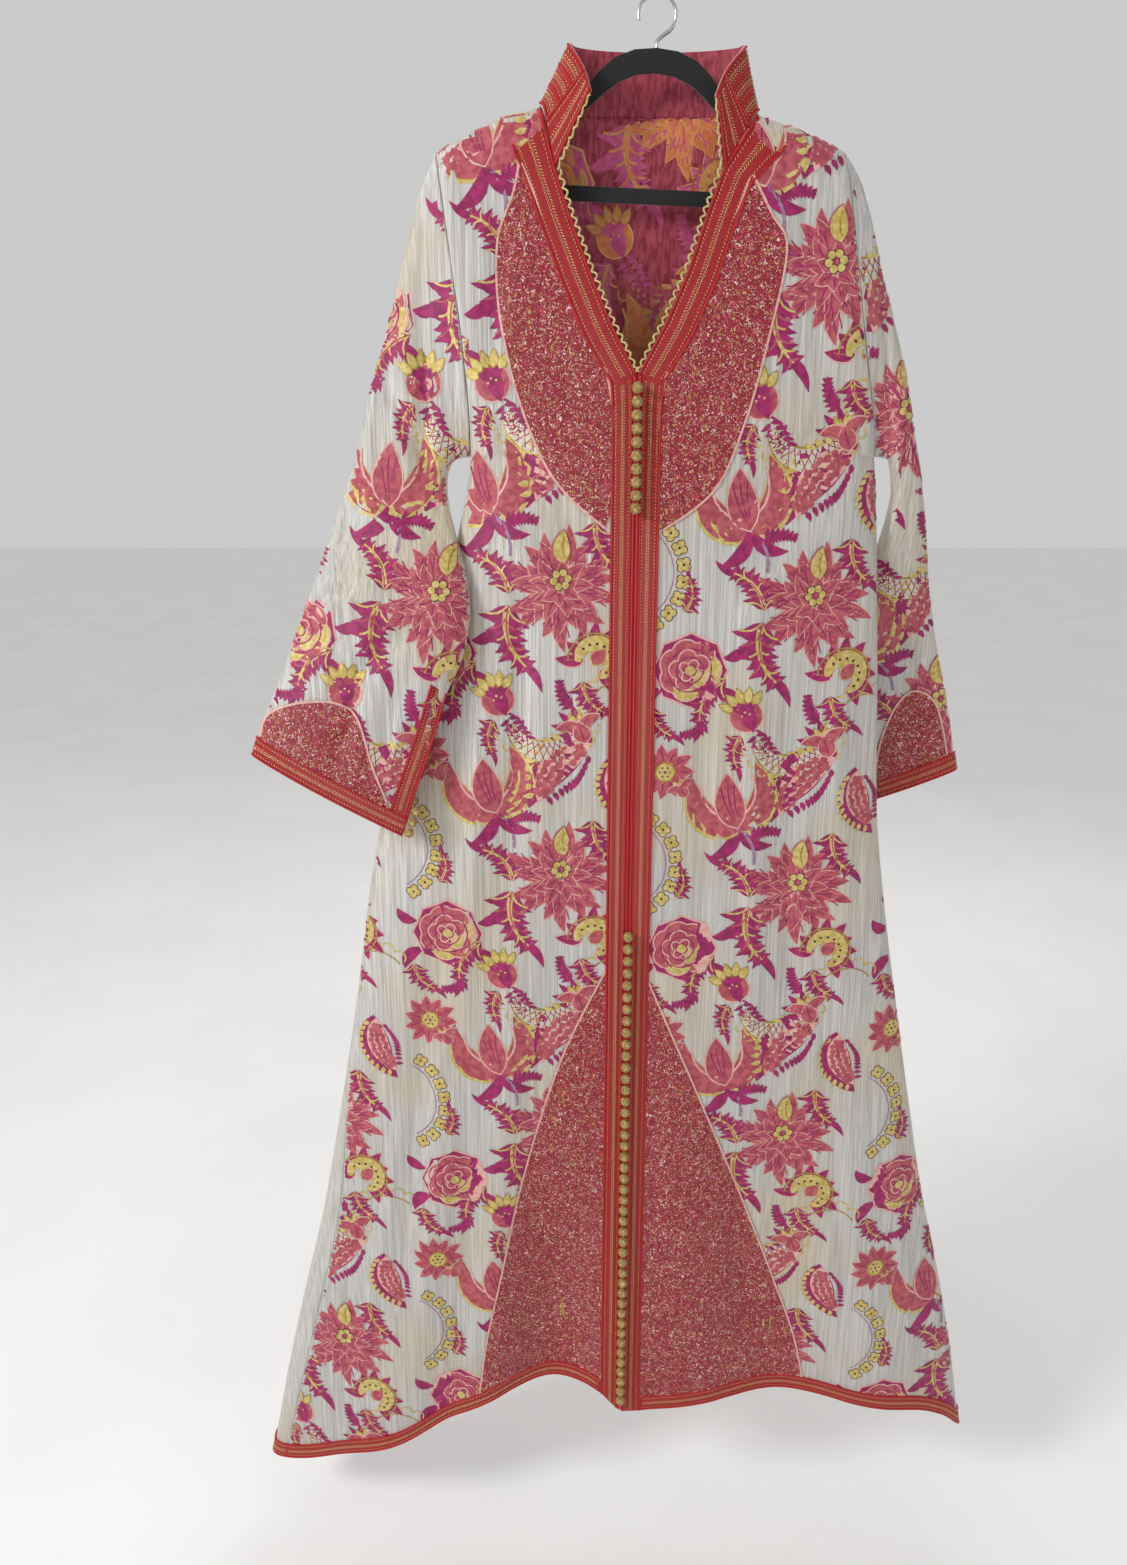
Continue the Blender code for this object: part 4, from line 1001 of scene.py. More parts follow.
def arc(centre, radius, start, end, steps=10):
    turn = np.linspace(start, end, steps + 1)
    return np.stack([centre[0] + radius * np.cos(turn), centre[1] + radius * np.sin(turn)], axis=1)


def polar(radius, turn):
    return np.array((radius * math.cos(turn), radius * math.sin(turn)))


def heading_at(path, k):
    """Angle in which a path runs at one of its points."""
    ahead = path[min(k + 1, len(path) - 1)] - path[k - 1]
    return math.atan2(ahead[1], ahead[0])


def peony(cloth):
    rings = ((15, 0.014, 0.052, 0.0150), (12, 0.010, 0.041, 0.0135), (9, 0.006, 0.029, 0.0120),
             (6, 0.003, 0.017, 0.0100))
    for shade, (number, inner, outer, width) in enumerate(rings):
        level = shade * 2
        for k in range(number):
            turn = 2 * math.pi * (k + 0.45 * shade) / number
            reach = outer * (1 + 0.12 * math.sin(k * 2.4 + shade * 1.3))
            tip = polar(reach, turn)
            bend = 0.07 * (-1) ** k
            cloth.edged(polar(inner, turn), tip, width, SALMON, BLUSH, level, bend, 0.62, 0.0010, 6)
            cloth.vein(polar(inner * 1.6, turn), tip * 0.80, bend, 0.0006, MAGENTA, level + 2, 4)
            if shade < 2:
                for side in (-0.12, 0.12):
                    start, end = polar(outer * 0.62, turn + side / 2), polar(reach * 0.78, turn + side)
                    cloth.vein(start, end, 0.05, 0.0005, MAGENTA, level + 2, 3)
    for k in range(6):
        spot = polar(0.0065, k * 1.05) + (0.002, 0.008)
        cloth.disc(spot, 0.0042, OUTLINE, 8, 8)
        cloth.disc(spot, 0.0034, YELLOW, 9, 8)
    cloth.edged((0.008, 0.022), (0.013, 0.050), 0.015, YELLOW, SALMON, 8, 0.10, 0.8)
    cloth.vein((0.009, 0.026), (0.012, 0.045), 0.1, 0.0008, GOLD, 10)


def arc_line(start, end, bend, steps=6):
    start, end = np.array(start, dtype=float), np.array(end, dtype=float)
    axis = end - start
    t = np.linspace(0, 1, steps + 1)[:, None]
    return start + axis * t + np.array((-axis[1], axis[0])) * bend * 4 * t * (1 - t)


def acanthus(cloth):
    stem = arc_line((0, 0), (0.072, 0.012), -0.20, 14)
    for k in range(1, 12):
        share = k / 12
        spot, heading = stem[k], heading_at(stem, k)
        length = 0.0300 * (1 - 0.50 * share) * (0.80 + 0.20 * math.sin(k * 2.1))
        for side in (-1, 1):
            tip = spot + polar(length, heading + side * (1.05 - 0.35 * share))
            cloth.petal(spot, tip, 0.0100 * (1.1 - 0.4 * share), MAGENTA, 1, side * -0.18, 0.60, 5)
            if k % 2:
                shade = YELLOW if k % 4 == 1 else SALMON
                cloth.vein(spot, spot + (tip - spot) * 0.78, side * -0.18, 0.0009, shade, 2, 4)
    cloth.petal(stem[11], stem[-1] + (0.016, 0.001), 0.009, MAGENTA, 1, 0.1, 0.7, 5)
    cloth.ribbon(stem[2:13], np.linspace(0.0030, 0.0008, 11), YELLOW, 2)
    cloth.ribbon(stem[1:9] + (0, 0.0006), 0.0007, SALMON, 3)


def half_moon(cloth):
    for k in range(9):
        turn = math.radians(-28 + 30 * k)
        tip = polar(0.034 + 0.004 * math.sin(k * 1.7), turn)
        cloth.edged(polar(0.011, turn), tip, 0.0115, MAGENTA, BLUSH, 0, 0.06, 0.7)
        cloth.vein(polar(0.016, turn), tip * 0.8, 0.06, 0.0006, SALMON, 2)
    cloth.sector(0.008, 0.024, math.radians(-40), math.radians(220), YELLOW, 3, 18)
    for k in range(8):
        cloth.disc(polar(0.0155, math.radians(-12 + 26 * k)), 0.0015, OUTLINE, 4, 6)
    cloth.edged((0, -0.004), (0.002, 0.014), 0.013, SALMON, YELLOW, 4, 0.0, 0.8)
    cloth.ribbon(arc((0.0, 0.0), 0.0255, math.radians(-36), math.radians(216), 20), 0.0008, GOLD, 4)


LATTICE_MIDDLE = 0.046


def lattice(cloth):
    start, end = math.radians(25), math.radians(200)
    cloth.sector(0.030, 0.062, start, end, GOLD, 0, 22)
    cloth.sector(0.033, 0.059, start, end, IVORY, 1, 22)
    for k in range(1, 16):
        turn = start + (end - start) * k / 16
        swell = math.sin(math.pi * k / 16) ** 0.7
        inner, outer = LATTICE_MIDDLE - 0.012 * swell, LATTICE_MIDDLE + 0.012 * swell
        for lean in (-0.13, 0.13):
            cloth.vein(polar(inner, turn - lean), polar(outer, turn + lean), 0.0, 0.00055, MAGENTA, 2, 4)
        cloth.disc(polar(LATTICE_MIDDLE, turn), 0.0017, YELLOW, 3, 6)
        cloth.disc(polar(outer - 0.003, turn + 0.07), 0.0013, YELLOW, 3, 6)
    for k in range(11):
        turn = start + (end - start) * (k + 0.5) / 11
        cloth.ribbon(arc(polar(0.0625, turn), 0.0058, turn - 1.5, turn + 1.5, 6), 0.0011, YELLOW, 1)
    curl = [polar(LATTICE_MIDDLE, start) + polar(0.0035 * k ** 0.9, start - 0.5 + 0.62 * k) for k in range(7)]
    cloth.ribbon(curl[::-1], 0.0014, MAGENTA, 2)


def scale_leaf(cloth):
    cloth.petal((0, 0), (0.088, 0.010), 0.040, MAGENTA, 0, -0.14, 0.85, 12)
    path = cloth.petal((0.004, 0.003), (0.078, 0.012), 0.028, BLUSH, 1, -0.14, 0.85, 12)
    for k in range(1, 11):
        heading = heading_at(path, k)
        half = 0.0135 * math.sin(math.pi * (k / 12) ** 0.85) ** 0.8
        for offset in (-0.62, 0.0, 0.62):
            side = polar(half * offset + (k % 2) * 0.0016, heading + math.pi / 2)
            spot = path[k] + side
            cloth.petal(spot, spot + polar(0.0088, heading), 0.0072, SALMON, 2 + k % 2, 0, 0.7, 4)
    for k in range(1, 12):
        heading = heading_at(path, k)
        half = 0.020 * math.sin(math.pi * (k / 12) ** 0.85) ** 0.8
        spot = path[k] + polar(half, heading - math.pi / 2)
        cloth.petal(spot, spot + polar(0.0105, heading - 1.0), 0.0056, YELLOW, 1, 0.1, 0.7, 4)
        spot = path[k] + polar(half, heading + math.pi / 2)
        cloth.petal(spot, spot + polar(0.0095, heading + 0.9), 0.0050, MAGENTA, 1, 0.1, 0.7, 4)


def lotus(cloth):
    for k in range(5):
        turn = math.radians(90 + 27 * (k - 2))
        cloth.petal(polar(0.008, turn), polar(0.031, turn), 0.0072, MAGENTA, 0, 0.0, 0.8)
    for k in range(4):
        turn = math.radians(90 + 30 * (k - 1.5))
        cloth.edged(polar(0.004, turn), polar(0.023, turn), 0.0078, YELLOW, GOLD, 1, 0.0, 0.75)
    for side in (-1, 1):
        cloth.edged((0, 0), (side * 0.022, 0.012), 0.011, SALMON, BLUSH, 3, side * 0.2, 0.7)
    cloth.edged((0, -0.009), (0, 0.012), 0.016, SALMON, BLUSH, 4, 0.0, 0.8)
    cloth.vein((0, -0.005), (0, 0.008), 0.0, 0.0007, MAGENTA, 6, 4)


def tulip(cloth):
    for side in (-1, 1):
        tip = (side * 0.027, 0.030)
        cloth.edged((0, -0.026), tip, 0.023, SALMON, YELLOW, 0, side * -0.22, 0.75, 0.0020, 9)
        cloth.vein((side * 0.003, -0.014), (side * 0.022, 0.022), side * -0.2, 0.0009, BLUSH, 2)
    cloth.edged((0, -0.022), (0.002, 0.026), 0.024, SALMON, BLUSH, 2, 0.05, 0.8, 0.0014, 9)
    for lean in (-0.006, 0, 0.006):
        cloth.vein((lean * 0.4, -0.012), (lean, 0.016), 0.04, 0.0006, MAGENTA, 4)
    cloth.petal((0, -0.020), (-0.030, -0.044), 0.012, MAGENTA, 1, 0.2)
    cloth.petal((0, -0.020), (0.026, -0.046), 0.011, MAGENTA, 1, -0.2)
    cloth.vein((0, -0.022), (0.006, -0.058), 0.15, 0.0013, MAUVE, 1)


def clover(cloth):
    for k in range(8):
        turn = math.radians(-56 + 16 * k)
        spot = polar(0.062, turn)
        for j in range(4):
            petal = spot + polar(0.0044, turn + math.pi / 4 + j * math.pi / 2)
            cloth.disc(petal, 0.0045, OUTLINE, 0, 8)
            cloth.disc(petal, 0.0036, YELLOW, 1, 8)
        cloth.disc(spot, 0.0015, OUTLINE, 2, 6)
    cloth.ribbon(arc((0, 0), 0.0515, math.radians(-58), math.radians(62), 16), 0.0006, MAUVE, 0)


def rose(cloth):
    cloth.disc((0, 0), 0.034, BLUSH, 0, 24, 8, 0.06)
    cloth.disc((0, 0), 0.032, MAGENTA, 1, 24, 8, 0.06)
    rings = ((0.021, 7, 0.020), (0.013, 5, 0.016), (0.006, 4, 0.011))
    for ring, (radius, number, width) in enumerate(rings):
        for k in range(number):
            turn = 2 * math.pi * k / number + ring * 0.5
            start, end = polar(radius, turn - 0.6), polar(radius * 1.05, turn + 0.7)
            fill = YELLOW if (k + ring) % 5 == 0 else SALMON
            cloth.edged(start, end, width * 0.72, fill, BLUSH, 2 + ring * 2, -0.16, 0.9)
            cloth.vein(start * 0.94, end * 0.94, -0.16, 0.0006, MAGENTA, 4 + ring * 2)
    cloth.disc((0, 0), 0.0046, YELLOW, 8, 8)
    for side in (-1, 1):
        cloth.petal((side * 0.024, -0.018), (side * 0.044, -0.040), 0.013, MAGENTA, 0, side * 0.2)
        cloth.petal((side * 0.030, 0.012), (side * 0.050, 0.024), 0.011, MAGENTA, 0, side * -0.2)


def bud(cloth):
    cloth.vein((0.002, -0.014), (0.012, -0.050), 0.18, 0.0012, MAGENTA, 0)
    cloth.disc((0, 0), 0.0175, BLUSH, 1, 16)
    cloth.disc((0, 0), 0.0160, SALMON, 2, 16)
    cloth.petal((0.002, -0.018), (-0.018, 0.014), 0.013, MAGENTA, 3, -0.30)
    cloth.petal((0.002, -0.018), (0.018, 0.012), 0.011, MAGENTA, 3, 0.30)
    for k in range(5):
        turn = math.radians(90 + 24 * (k - 2))
        cloth.edged(polar(0.014, turn), polar(0.029, turn), 0.0074, YELLOW, GOLD, 3, 0, 0.7)
    for k in range(3):
        cloth.disc((-0.004 + 0.004 * k, 0.001 + 0.003 * (k % 2)), 0.0012, YELLOW, 4, 6)
    for k in range(5):
        spot = np.array((0.003 + 0.002 * k, -0.022 - 0.006 * k))
        for side in (-1, 1):
            cloth.petal(spot, spot + (side * 0.011, -0.004), 0.0046, MAGENTA, 1, 0.1, 0.7, 4)


def daisy(cloth):
    for k in range(11):
        turn = 2 * math.pi * k / 11
        tip = polar(0.029 + 0.002 * math.sin(k * 2), turn)
        cloth.edged(polar(0.008, turn), tip, 0.0118, SALMON, BLUSH, 0, 0.05, 0.72)
        cloth.vein(polar(0.012, turn), tip * 0.8, 0.03, 0.0006, MAGENTA, 2)
    cloth.disc((0, 0), 0.0105, GOLD, 3, 14, 7, 0.10)
    cloth.disc((0, 0), 0.0090, YELLOW, 4, 12)
    for k in range(6):
        cloth.disc(polar(0.0052, k * 1.047), 0.0011, OUTLINE, 5, 6)
    cloth.disc((0, 0), 0.0016, MAGENTA, 5, 6)


def sprig(cloth):
    stem = arc_line((0, 0), (0.046, 0.004), 0.14, 8)
    cloth.ribbon(stem, 0.0010, MAGENTA, 0)
    for k in range(1, 8):
        heading = heading_at(stem, k)
        for side in (-1, 1):
            tip = stem[k] + polar(0.0150 - 0.0010 * k, heading + side * 0.95)
            cloth.petal(stem[k], tip, 0.0058, MAGENTA, 1, side * -0.12, 0.65, 4)


def loops(cloth):
    for k in range(7):
        heading = math.radians(-10 + 22 * k)
        cloth.ribbon(arc(polar(0.042, heading), 0.0085, heading - 1.5, heading + 1.5, 8), 0.0009, YELLOW, 0)
    cloth.ribbon(arc((0, 0), 0.037, math.radians(-20), math.radians(132), 18), 0.0008, GOLD, 0)


MOTIFS = {motif.__name__: motif for motif in (
    peony, acanthus, half_moon, lattice, scale_leaf, lotus, tulip, clover, rose, bud, daisy, sprig, loops)}

# Repeats tried across and up, and how far a motif may reach past the cloth
REPEATS_ACROSS = range(-3, 5)
REPEATS_UP = range(-5, 7)
MOTIF_REACH = 0.055
RAY_START = 0.5


def lay_pattern(low, high, shift, lean=0):
    """The repeat over a stretch of cloth, leaning by some degrees about its start."""
    cloth = Figures()
    cosine, sine = math.cos(math.radians(lean)), math.sin(math.radians(lean))
    reach = MOTIF_REACH
    for column in REPEATS_ACROSS:
        for row in REPEATS_UP:
            for motif, across, up, turn, size in REPEAT:
                u, v = column * REPEAT_WIDTH + across, row * REPEAT_HEIGHT + up
                x = shift[0] + cosine * u - sine * v
                z = shift[1] + sine * u + cosine * v
                if low[0] - reach < x < high[0] + reach and low[1] - reach < z < high[1] + reach:
                    cloth.place((x, z), math.radians(turn + lean), size)
                    MOTIFS[motif](cloth)
    return cloth


def lay_on(name, cloth, tree, from_front, materials, lift=FIGURE_LIFT, inside=False, keep=None):
    """Project flat shapes on a shell along Y, raised a little, and drop what misses it."""
    flat = np.concatenate(cloth.points)
    levels = np.concatenate(cloth.levels)
    sign = -1 if from_front else 1
    way = Vector((0, -sign, 0))
    places = np.zeros((len(flat), 3))
    found = np.zeros(len(flat), dtype=bool)
    for i, (x, z) in enumerate(flat):
        if keep is not None and not keep(x, z):
            continue
        spot, normal, _, _ = tree.ray_cast(Vector((x, sign * RAY_START, z)), way)
        if spot is None or (normal.y * sign < 0) != inside:
            continue
        if inside:
            normal = -normal
            spot = spot + normal * SHELL_THICK
        places[i] = spot + normal * (lift + levels[i] * LEVEL_LIFT)
        found[i] = True
    faces, slots = [], []
    for face, colour in zip(cloth.faces, cloth.colours):
        if all(found[i] for i in face):
            faces.append(face)
            slots.append(colour)
    used = np.unique(np.concatenate([np.array(f) for f in faces]))
    renumber = np.zeros(len(flat), dtype=int)
    renumber[used] = np.arange(len(used))
    faces = [tuple(renumber[i] for i in face) for face in faces]
    item = new_object(name, places[used], faces, materials, slots)
    edit_mesh(item, lambda mesh: bmesh.ops.reverse_faces(
        mesh, faces=[face for face in mesh.faces if face.normal.y * sign < 0]))
    return wear(item)


def colour(code):
    """Linear colour from a code of six hexadecimal digits."""
    parts = [int(code[k:k + 2], 16) / 255 for k in (0, 2, 4)]
    return tuple(p / 12.92 if p <= 0.04045 else ((p + 0.055) / 1.055) ** 2.4 for p in parts) + (1.0,)


def feed(material, source, socket):
    material.node_tree.links.new(source, socket)


def add_node(material, kind, source=None, into="Vector", **values):
    """A shader node with its values set, and one socket fed by another node's output."""
    node = material.node_tree.nodes.new("ShaderNode" + kind)
    for key, value in values.items():
        node.inputs[key.replace("_", " ")].default_value = value
    if source is not None:
        feed(material, source, node.inputs[into])
    return node


def first_node(material, kind):
    return next(node for node in material.node_tree.nodes if node.type == kind)


def mixed(material, share, under, code):
    """A colour that goes from the one below it to a code's colour, by a share."""
    mix = add_node(material, "Mix")
    mix.data_type = "RGBA"
    feed(material, share, mix.inputs["Factor"])
    feed(material, under, mix.inputs[6])
    mix.inputs[7].default_value = colour(code)
    return mix.outputs[2]


def finish(name, low, high, size, rough=0.5, metal=0.0, bump=0.0002, thread=2600.0, lean=0.5, sheen=0.0,
           stretch=(1, 1, 1)):
    """A finish: uneven colour between two codes, with a bump of slanted threads."""
    material = bpy.data.materials.new(name)
    material.use_nodes = True
    shader = material.node_tree.nodes["Principled BSDF"]
    for key, value in (("Roughness", rough), ("Metallic", metal), ("Sheen Weight", sheen)):
        shader.inputs[key].default_value = value
    place = add_node(material, "TexCoord").outputs["Object"]
    scaling = add_node(material, "Mapping", place, Scale=stretch)
    noise = add_node(material, "TexNoise", scaling.outputs["Vector"], Scale=size, Detail=4.0)
    ramp = add_node(material, "ValToRGB")
    for k, (position, code) in enumerate(((0.40, low), (0.60, high))):
        ramp.color_ramp.elements[k].position = position
        ramp.color_ramp.elements[k].color = colour(code)
    feed(material, noise.outputs["Fac"], ramp.inputs["Fac"])
    feed(material, ramp.outputs["Color"], shader.inputs["Base Color"])
    turning = add_node(material, "Mapping", place, Rotation=(0, lean, 0))
    threads = add_node(material, "TexWave", turning.outputs["Vector"], Scale=thread / 6.28, Distortion=1.5)
    threads.bands_direction = "Z"
    relief = add_node(material, "Bump", threads.outputs["Fac"], "Height", Strength=0.6, Distance=bump)
    feed(material, relief.outputs["Normal"], shader.inputs["Normal"])
    return material


def crinkled_with_painted_sheen(material):
    """Add the satin's fine upright crinkles and its painted sheen to a finish: large random gold patches in
    the base colour stand in for the shimmer where the satin catches the light.
    """
    place = first_node(material, "TEX_COORD").outputs["Object"]
    threads = first_node(material, "BUMP")
    stretch = add_node(material, "Mapping", place, Scale=(1.0, 1.0, 0.020))
    noise = add_node(material, "TexNoise", stretch.outputs["Vector"], Scale=190.0, Detail=2.5)
    relief = add_node(material, "Bump", noise.outputs["Fac"], "Height", Strength=0.75, Distance=0.0030)
    feed(material, relief.outputs["Normal"], threads.inputs["Normal"])
    # Painted sheen: the satin's gold shimmer in the light, mixed into the base colour as large random gold
    # patches
    painted_sheen_patches = add_node(material, "TexNoise", place, Scale=7.0, Detail=3.0).outputs["Fac"]
    share = add_node(material, "MapRange", painted_sheen_patches, "Value", From_Min=0.45, From_Max=0.75, To_Max=0.55)
    base = first_node(material, "VALTORGB").outputs["Color"]
    painted_sheen_tint = mixed(material, share.outputs["Result"], base, "CDB47A")
    feed(material, painted_sheen_tint, material.node_tree.nodes["Principled BSDF"].inputs["Base Color"])
    return material


# Layers of the vermicelli: grain, colour, and the noise's values between which it sets in
VERMICELLI = (
    (340.0, "ECD2CA", 0.625, 0.655),
    (300.0, "B82850", 0.590, 0.620),
    (420.0, "C8A050", 0.630, 0.660),
)


def speckled(name):
    """The vermicelli ground of the yoke, the godets and the cuffs."""
    material = finish(name, "74061C", "980C2A", 900.0)
    place = first_node(material, "TEX_COORD").outputs["Object"]
    top = first_node(material, "VALTORGB").outputs["Color"]
    for scale, code, low, high in VERMICELLI:
        noise = add_node(material, "TexNoise", place, Scale=scale, Detail=1.0, Distortion=1.6)
        step = add_node(material, "MapRange", noise.outputs["Fac"], "Value", From_Min=low, From_Max=high)
        top = mixed(material, step.outputs["Result"], top, code)
    feed(material, top, material.node_tree.nodes["Principled BSDF"].inputs["Base Color"])
    return material


GROUND = crinkled_with_painted_sheen(finish("brocade_ground", "B9B5AF", "D0CDC9", 260.0, 0.36, 0.12, thread=3200.0,
                         lean=0.0, stretch=(2.0, 1.0, 0.03)))
WRONG = finish("brocade_wrong_side", "8E2236", "B4485A", 260.0, 0.60, 0.05, stretch=(1.0, 1.0, 0.3))

# Woven figures in the order of their numbers: name, low and high colour, grain, roughness, metal
WOVEN = [finish("woven_" + name, *values) for name, *values in (
    ("outline", "4A0C28", "641536", 300.0, 0.55),
    ("magenta", "860C4E", "AA1666", 160.0, 0.50, 0.05),
    ("salmon", "A43E4E", "BE5C64", 150.0, 0.52, 0.05),
    ("blush", "D89C92", "E4B4A8", 200.0, 0.50, 0.05),
    ("yellow", "BCA552", "D6C27A", 220.0, 0.42, 0.20),
    ("gold", "9A7C2E", "BC9C46", 300.0, 0.36, 0.45),
    ("mauve", "8C6C8A", "A889A4", 240.0, 0.50, 0.10),
    ("ivory", "C6BEAC", "D6CFBE", 300.0, 0.42, 0.15),
)]

# The same figures on the wrong side: name, low and high colour, grain
WOVEN_WRONG = [finish("wrong_" + name, *values, 0.60) for name, *values in (
    ("outline", "B23A4C", "C04858", 300.0),
    ("magenta", "C04478", "D0588A", 160.0),
    ("orange", "D07040", "E08A50", 150.0),
    ("amber", "D89A58", "E2A868", 200.0),
    ("ochre", "C88848", "D89C58", 220.0),
    ("brown", "A85C38", "B86C40", 300.0),
    ("pink", "C06078", "CC7084", 240.0),
    ("ground", "A83848", "B84858", 300.0),
)]
SPECKLE = speckled("brocade_speckle")
BRAID_RED = finish("braid_red", "96060F", "B00B17", 600.0, 0.52, 0.0, 0.0003, 3600.0, 0.8)
CORD_RED = finish("braid_cord", "A80610", "C00D19", 700.0, 0.42, 0.0, 0.0004, 2800.0, 0.9)
THREAD = finish("braid_thread", "BFA463", "E0CC94", 500.0, 0.38, 0.35, 0.0002, 4200.0, 0.4)
BALL = finish("button_thread", "96783A", "CDB678", 500.0, 0.40, 0.35, 0.0004, 4200.0, 0.6)
VELVET = finish("hanger_velvet", "050506", "0D0D10", 500.0, 0.85, 0.0, 0.0002, 3600.0, 0.3, 0.3)
STEEL = finish("hook_steel", "B8B8BC", "C8C8CC", 300.0, 0.22, 0.95, 0.00002, 3600.0, 0.3)
BRAID_FINISHES = [BRAID_RED, CORD_RED, THREAD]
FRONT = np.array((0.0, -1.0, 0.0))


def shaped(points, normals, key, table, seed, edges):
    """Lay creases and crinkles on a panel; edges give the columns and rows kept calm at each side."""
    rows, columns = points.shape[:2]
    left, right, foot, top = edges
    column = np.arange(columns)
    row = np.arange(rows)
    across = np.clip(column / left, 0, 1) * np.clip((columns - 1 - right - column) / CALM_STEPS, 0, 1)
    up = np.clip((row - foot) / CALM_STEPS, 0, 1) * np.clip((rows - 1 - row) / top, 0, 1)
    calm = across[None, :] * up[:, None]
    x, z = points[:, :, 0], points[:, :, 2]
    rise = crinkle_height(seed, x, z, x.min(), x.max(), z.min(), z.max())
    rise = rise - crease_depth(table, key, x, z)
    return points + normals * (rise * calm)[:, :, None]


def make_fronts():
    shells = {}
    steps = [k * FRONT_COLUMNS / FRONT_STEPS for k in range(FRONT_STEPS + 1)]
    for number, side in enumerate(SIDES):
        points = front_grid(side, fine_rows(), steps)
        normals = grid_normals(points, FRONT)
        points = shaped(points, normals, "front", CREASES, FRONT_SEED + number, FRONT_CALM)
        shells[side] = cloth_shell("front_" + side, points, normals, ["front_" + side],
                                   [GROUND, WRONG])
    return shells


def make_back():
    points = back_grid(fine_rows(), BACK_SIDE_STEPS, BACK_MIDDLE_STEPS)
    normals = grid_normals(points, -FRONT)
    points = shaped(points, normals, "back", CREASES, BACK_SEED, BACK_CALM)
    return cloth_shell("back", points, normals, ["back"], [GROUND, WRONG])


def sleeve_points(side):
    """The sleeve's fine rows, the armhole's edge first, each from the inner fold round the front."""
    rows = [1 + SKIRT_ROWS + k for k in range(ARM_ROWS + 1)]
    front = front_grid(side, rows, [0])[:, 0]
    back = back_grid(rows, BACK_SIDE_COLUMNS, BACK_MIDDLE_COLUMNS)[:, 0 if side == "right" else -1]
    first = np.concatenate([front, back[-2::-1]])
    first[:, 0] += SIDE_SIGN[side] * ARMHOLE_SEAM
    first[[0, ARM_ROWS, 2 * ARM_ROWS], 1] = 0
    rings = [[tuple(p) for p in sleeve_ring(side, k + 1)] for k in range(len(SLEEVE_RINGS[side]))]
    coarse = np.concatenate([first[None], np.array(rings)])
    fine = refine(coarse, SLEEVE_ROW_STEPS, SLEEVE_COLUMN_STEPS)
    closed = SLIT_RING * SLEEVE_ROW_STEPS + 1
    middle = (fine[:closed, 0] + fine[:closed, -1]) / 2
    fine[:closed, 0] = middle
    fine[:closed, -1] = middle
    return fine


def make_sleeve(side):
    points = sleeve_points(side)
    normals = grid_normals(points, np.array((SIDE_SIGN[side], 0, 0)))
    worn = shaped(points, normals, side, SLEEVE_CREASES, SLEEVE_SEED + SIDE_SIGN[side], SLEEVE_CALM)
    item = cloth_shell("sleeve_" + side, worn, normals, ["sleeve_" + side], [GROUND, WRONG], True)
    return item, points


def collar_grid():
    """The collar's rows from its foot to its top edge, from front corner to front corner."""
    feet = {}
    for side in SIDES:
        rows = [1 + SKIRT_ROWS + COLLAR_ROW + k for k in range(3)]
        feet[side] = front_grid(side, rows, [FRONT_COLUMNS])[:, -1]
        feet[side][-1][1] = 0
    start = BACK_SIDE_COLUMNS + 1
    middle = back_grid([TOP_ROW], BACK_SIDE_COLUMNS, BACK_MIDDLE_COLUMNS)[0]
    middle = middle[start:start + BACK_MIDDLE_COLUMNS - 1]
    foot = np.concatenate([feet["right"], middle, feet["left"][::-1]])
    low, high = COLLAR_TOP["right"][-1], COLLAR_TOP["left"][-1]
    top = [tuple(p) for p in COLLAR_TOP["right"]]
    for k in range(1, BACK_MIDDLE_COLUMNS):
        share = k / BACK_MIDDLE_COLUMNS
        swell = math.sin(math.pi * share)
        x = (low[0] + high[0]) / 2 - (high[0] - low[0]) / 2 * math.cos(math.pi * share)
        rim_z = low[2] + (high[2] - low[2]) * share
        top.append((x, COLLAR_BACK_TOP_DEPTH * swell, rim_z + (COLLAR_BACK_TOP_Z - rim_z) * swell))
    top += [tuple(p) for p in COLLAR_TOP["left"][::-1]]
    top = np.array(top)
    levels = np.linspace(0, 1, COLLAR_LEVELS + 1)[:, None, None]
    return refine(foot[None] * (1 - levels) + top[None] * levels, *COLLAR_FINE_STEPS)


class Band:
    """A braid's path: two edges and the outward direction, by distance along it."""

    def __init__(self, one, other, outward):
        one, other = np.asarray(one, dtype=float), np.asarray(other, dtype=float)
        middle = (one + other) / 2
        gaps = np.linalg.norm(np.diff(middle, axis=0), axis=1)
        travel = np.concatenate([[0], np.cumsum(gaps)])
        self.length = travel[-1]
        self.width = np.linalg.norm(other - one, axis=1).mean()
        normal = unit(np.cross(np.gradient(middle, axis=0), other - one))
        if (normal * outward).sum() < 0:
            normal = -normal
        self.travel, self.one, self.other, self.normal = travel, one, other, normal

    def spots(self, t, u, height):
        """Points at distances t along, shares u across and heights above."""
        t, u, height = np.broadcast_arrays(np.clip(t, 0, self.length), u, height)
        parts = []
        for table in (self.one, self.other, self.normal):
            parts.append(np.stack([np.interp(t, self.travel, table[:, k]) for k in range(3)], axis=-1))
        u, height = u[..., None], height[..., None]
        return parts[0] * (1 - u) + parts[1] * u + parts[2] * height

    def up(self, t, u):
        """The direction away from the cloth at places on the band."""
        return self.spots(t, u, 1) - self.spots(t, u, 0)


